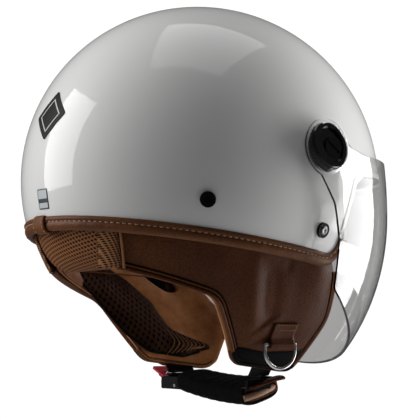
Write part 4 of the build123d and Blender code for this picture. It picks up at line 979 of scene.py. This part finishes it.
steps = np.linspace(0, 1, 61)
outer_rings = [sleeve_ring(0.0, 4.0, 0.0)] + [sleeve_ring(t) for t in steps]
inner_rings = [sleeve_ring(t, 2.0, 0.6) for t in steps[::-1][:40]]
sleeve = loft("strap_sleeve_padding", outer_rings + inner_rings, PADDING, CHIN, cap=False)
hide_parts("strap_sleeve")
tail = [sleeve_ring(t, 2.15, 0.6) for t in steps[::-1][:40]][::-1]
mouth = [sleeve_ring(1.0, 1.9, 0.0, lip) for lip in (1.5, 3.5, 5.5)]
back = [sleeve_ring(1.0, 3.3, 0.0, lip) for lip in (5.3, 3.0, 0.5)]
back += [sleeve_ring(t, 3.4, 0.5) for t in steps[::-1][:38]]
lining = loft("sleeve_lining_leather", tail + mouth + back, BROWN, CHIN, cap=False)
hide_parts("sleeve_lining")

# Leather tongue folded out of the sleeve's open end, and the rolled lining edge under it.
LIP_HALF_THICK = 0.8
lip_rows = []
for t in np.linspace(0, 1, 14):
    row = []
    for v in np.linspace(-1, 1, 13):
        y = -17.5 + 15.0 * v * (1 - 0.22 * t ** 3) - 2.0 * t
        x = -38.0 - 17.5 * t + 2.0 * t * v
        z = -143.6 + 1.4 * t + 1.2 * math.sin(math.pi * t) - 0.28 * (y + 17.5) - 0.8 * v * v
        row.append((x, y, z))
    lip_rows.append(row)
lip_rows = np.array(lip_rows)
lip_normal = unit(np.cross(np.gradient(lip_rows, axis=0), np.gradient(lip_rows, axis=1)))
if lip_normal[7, 6, 2] < 0:
    lip_normal = -lip_normal
lip_top, lip_under = lip_rows + LIP_HALF_THICK * lip_normal, lip_rows - LIP_HALF_THICK * lip_normal
lip_rings = np.concatenate([lip_top, lip_under[:, ::-1]], axis=1)
lip = loft("sleeve_lip_leather", lip_rings, BROWN, CHIN)
for k, row in enumerate((10, 12)):
    stitches(f"lip_stitches_{k}", resample(lip_under[row, 1:-1], 1.0), (-0.3, 0.0, -1.0), DARK_THREAD,
             3.0, 2.2, 0.3, 0.1, CHIN)
roll_line = np.array([(-45.0 - 3.0 * math.sin(math.pi * t), -31.0 + 27.0 * t, -144.6 - 8.6 * t)
                      for t in np.linspace(0, 1, 24)])
roll_rings = sweep_rings(roll_line, np.array((0.0, 0.3, 1.0)), round_profile(2.5, 16))
rolled = loft("sleeve_roll_leather", roll_rings, ROLLED, CHIN)

# --- Rivet caps ---
CAP_PLACE = (-22.9, -39.2)
CAP_PROFILE = ((3.3, 1.2), (3.3, 2.15), (3.0, 2.45), (2.0, 2.7), (1.2, 2.55), (0.7, 2.3), (0.05, 2.25))
for side, tag in SIDES:
    y, z = CAP_PLACE
    x = side * HALF_WIDTH * math.sqrt(1 - (y / HALF_LENGTH) ** 2 - (z / HALF_HEIGHT) ** 2)
    centre = np.array([x, y, z])
    out = dome_normal(centre)
    u = unit(np.cross(out, (0, 0, 1)))
    v = np.cross(out, u)
    rings = [[centre + out * h + (u * math.cos(t) + v * math.sin(t)) * r
              for t in np.linspace(0, 2 * math.pi, 28, endpoint=False)] for r, h in CAP_PROFILE]
    loft(f"strap_rivet_cap_{tag}", rings, GREY_CAP)

# --- Floor, light and camera ---
FLOOR_Z, FLOOR_REACH = -1.3, 6.0  # metres
floor_mesh = bpy.data.meshes.new("floor")
floor_mesh.from_pydata([(x * FLOOR_REACH, y * FLOOR_REACH, FLOOR_Z)
                        for x, y in ((-1, -1), (1, -1), (1, 1), (-1, 1))], [], [(0, 1, 2, 3)])
floor = add_object("floor", floor_mesh)
paper = Finish("floor_paper", (0.9, 0.9, 0.9), 0.9)
paper.color(paper.ramp(paper.noise(3.0, 2.0), (0.90, 0.90, 0.90), (0.92, 0.92, 0.92)))
paper.set("Emission Color", (1.0, 1.0, 1.0, 1.0))
paper.link(paper.node("LightPath").outputs["Is Camera Ray"], paper.shader.inputs["Emission Strength"])
floor_mesh.materials.append(paper.material)

world = bpy.data.worlds.new("studio")
bpy.context.scene.world = world
world.use_nodes = True
tree = world.node_tree
tree.nodes.clear()
rays = tree.nodes.new("ShaderNodeLightPath")


def backdrop(color, strength):
    """A plain background."""
    made = tree.nodes.new("ShaderNodeBackground")
    made.inputs["Color"].default_value = (*color, 1)
    made.inputs["Strength"].default_value = strength
    return made.outputs[0]


def chosen(ray, others, these):
    """One background for the rays of a kind, and another for the rest."""
    made = tree.nodes.new("ShaderNodeMixShader")
    for k, source in enumerate((rays.outputs[ray], others, these)):
        tree.links.new(source, made.inputs[k])
    return made.outputs[0]


# The camera sees white, the visor's rays a warm grey, and all other rays a dim light.
unseen = chosen("Is Transmission Ray", backdrop((0.95, 0.97, 1.0), 0.08), backdrop((1, 0.985, 0.97), 0.37))
looks = chosen("Is Camera Ray", unseen, backdrop((1, 1, 1), 1.05))
tree.links.new(looks, tree.nodes.new("ShaderNodeOutputWorld").inputs["Surface"])


def softbox(name, place, width, height, power):
    """A plain soft white studio light that faces the helmet."""
    data = bpy.data.lights.new(name, "AREA")
    data.shape = "RECTANGLE"
    data.size, data.size_y = width, height
    data.energy = power
    lamp = add_object(name, data)
    lamp.location = place
    lamp.rotation_euler = (-place).to_track_quat("-Z", "Y").to_euler()
    return lamp


back_dir = Vector((-0.8259, 0.5571, -0.0872))
right_dir = Vector((-0.5592, -0.8290, 0.0))
up_dir = Vector((-0.0723, 0.0487, 0.9962))


def studio(right, up, toward):
    """A place given in metres right of, above and towards the camera from the helmet."""
    return right_dir * right + up_dir * up + back_dir * toward


softbox("key", studio(-1.42, 0.50, 0.0), 0.85, 1.2, 22)
softbox("top", studio(0.15, 1.5, -0.1), 1.2, 1.0, 7.5)
softbox("rim", studio(1.30, 0.12, -0.52), 0.8, 1.2, 24).visible_glossy = False
softbox("patch", studio(1.35, -0.56, -0.22), 0.8, 0.75, 9)

SENSOR, FOCAL_PX, PHOTO_PX = 36.0, 1375.2, 420.0
SHIFT_RIGHT, SHIFT_DOWN = 0.005547, 0.01889  # metres
camera_data = bpy.data.cameras.new("camera")
camera_data.sensor_width = SENSOR
camera_data.lens = SENSOR * FOCAL_PX / PHOTO_PX
camera = add_object("camera", camera_data)
camera.matrix_world = Matrix((
    (right_dir.x, up_dir.x, back_dir.x, 0), (right_dir.y, up_dir.y, back_dir.y, 0),
    (right_dir.z, up_dir.z, back_dir.z, 0), (0, 0, 0, 1)))
camera.location = back_dir * 1.0 + right_dir * SHIFT_RIGHT - up_dir * SHIFT_DOWN
camera_data.clip_start, camera_data.clip_end = 0.05, 60.0
bpy.context.scene.camera = camera
bpy.context.scene.view_settings.view_transform = "Standard"
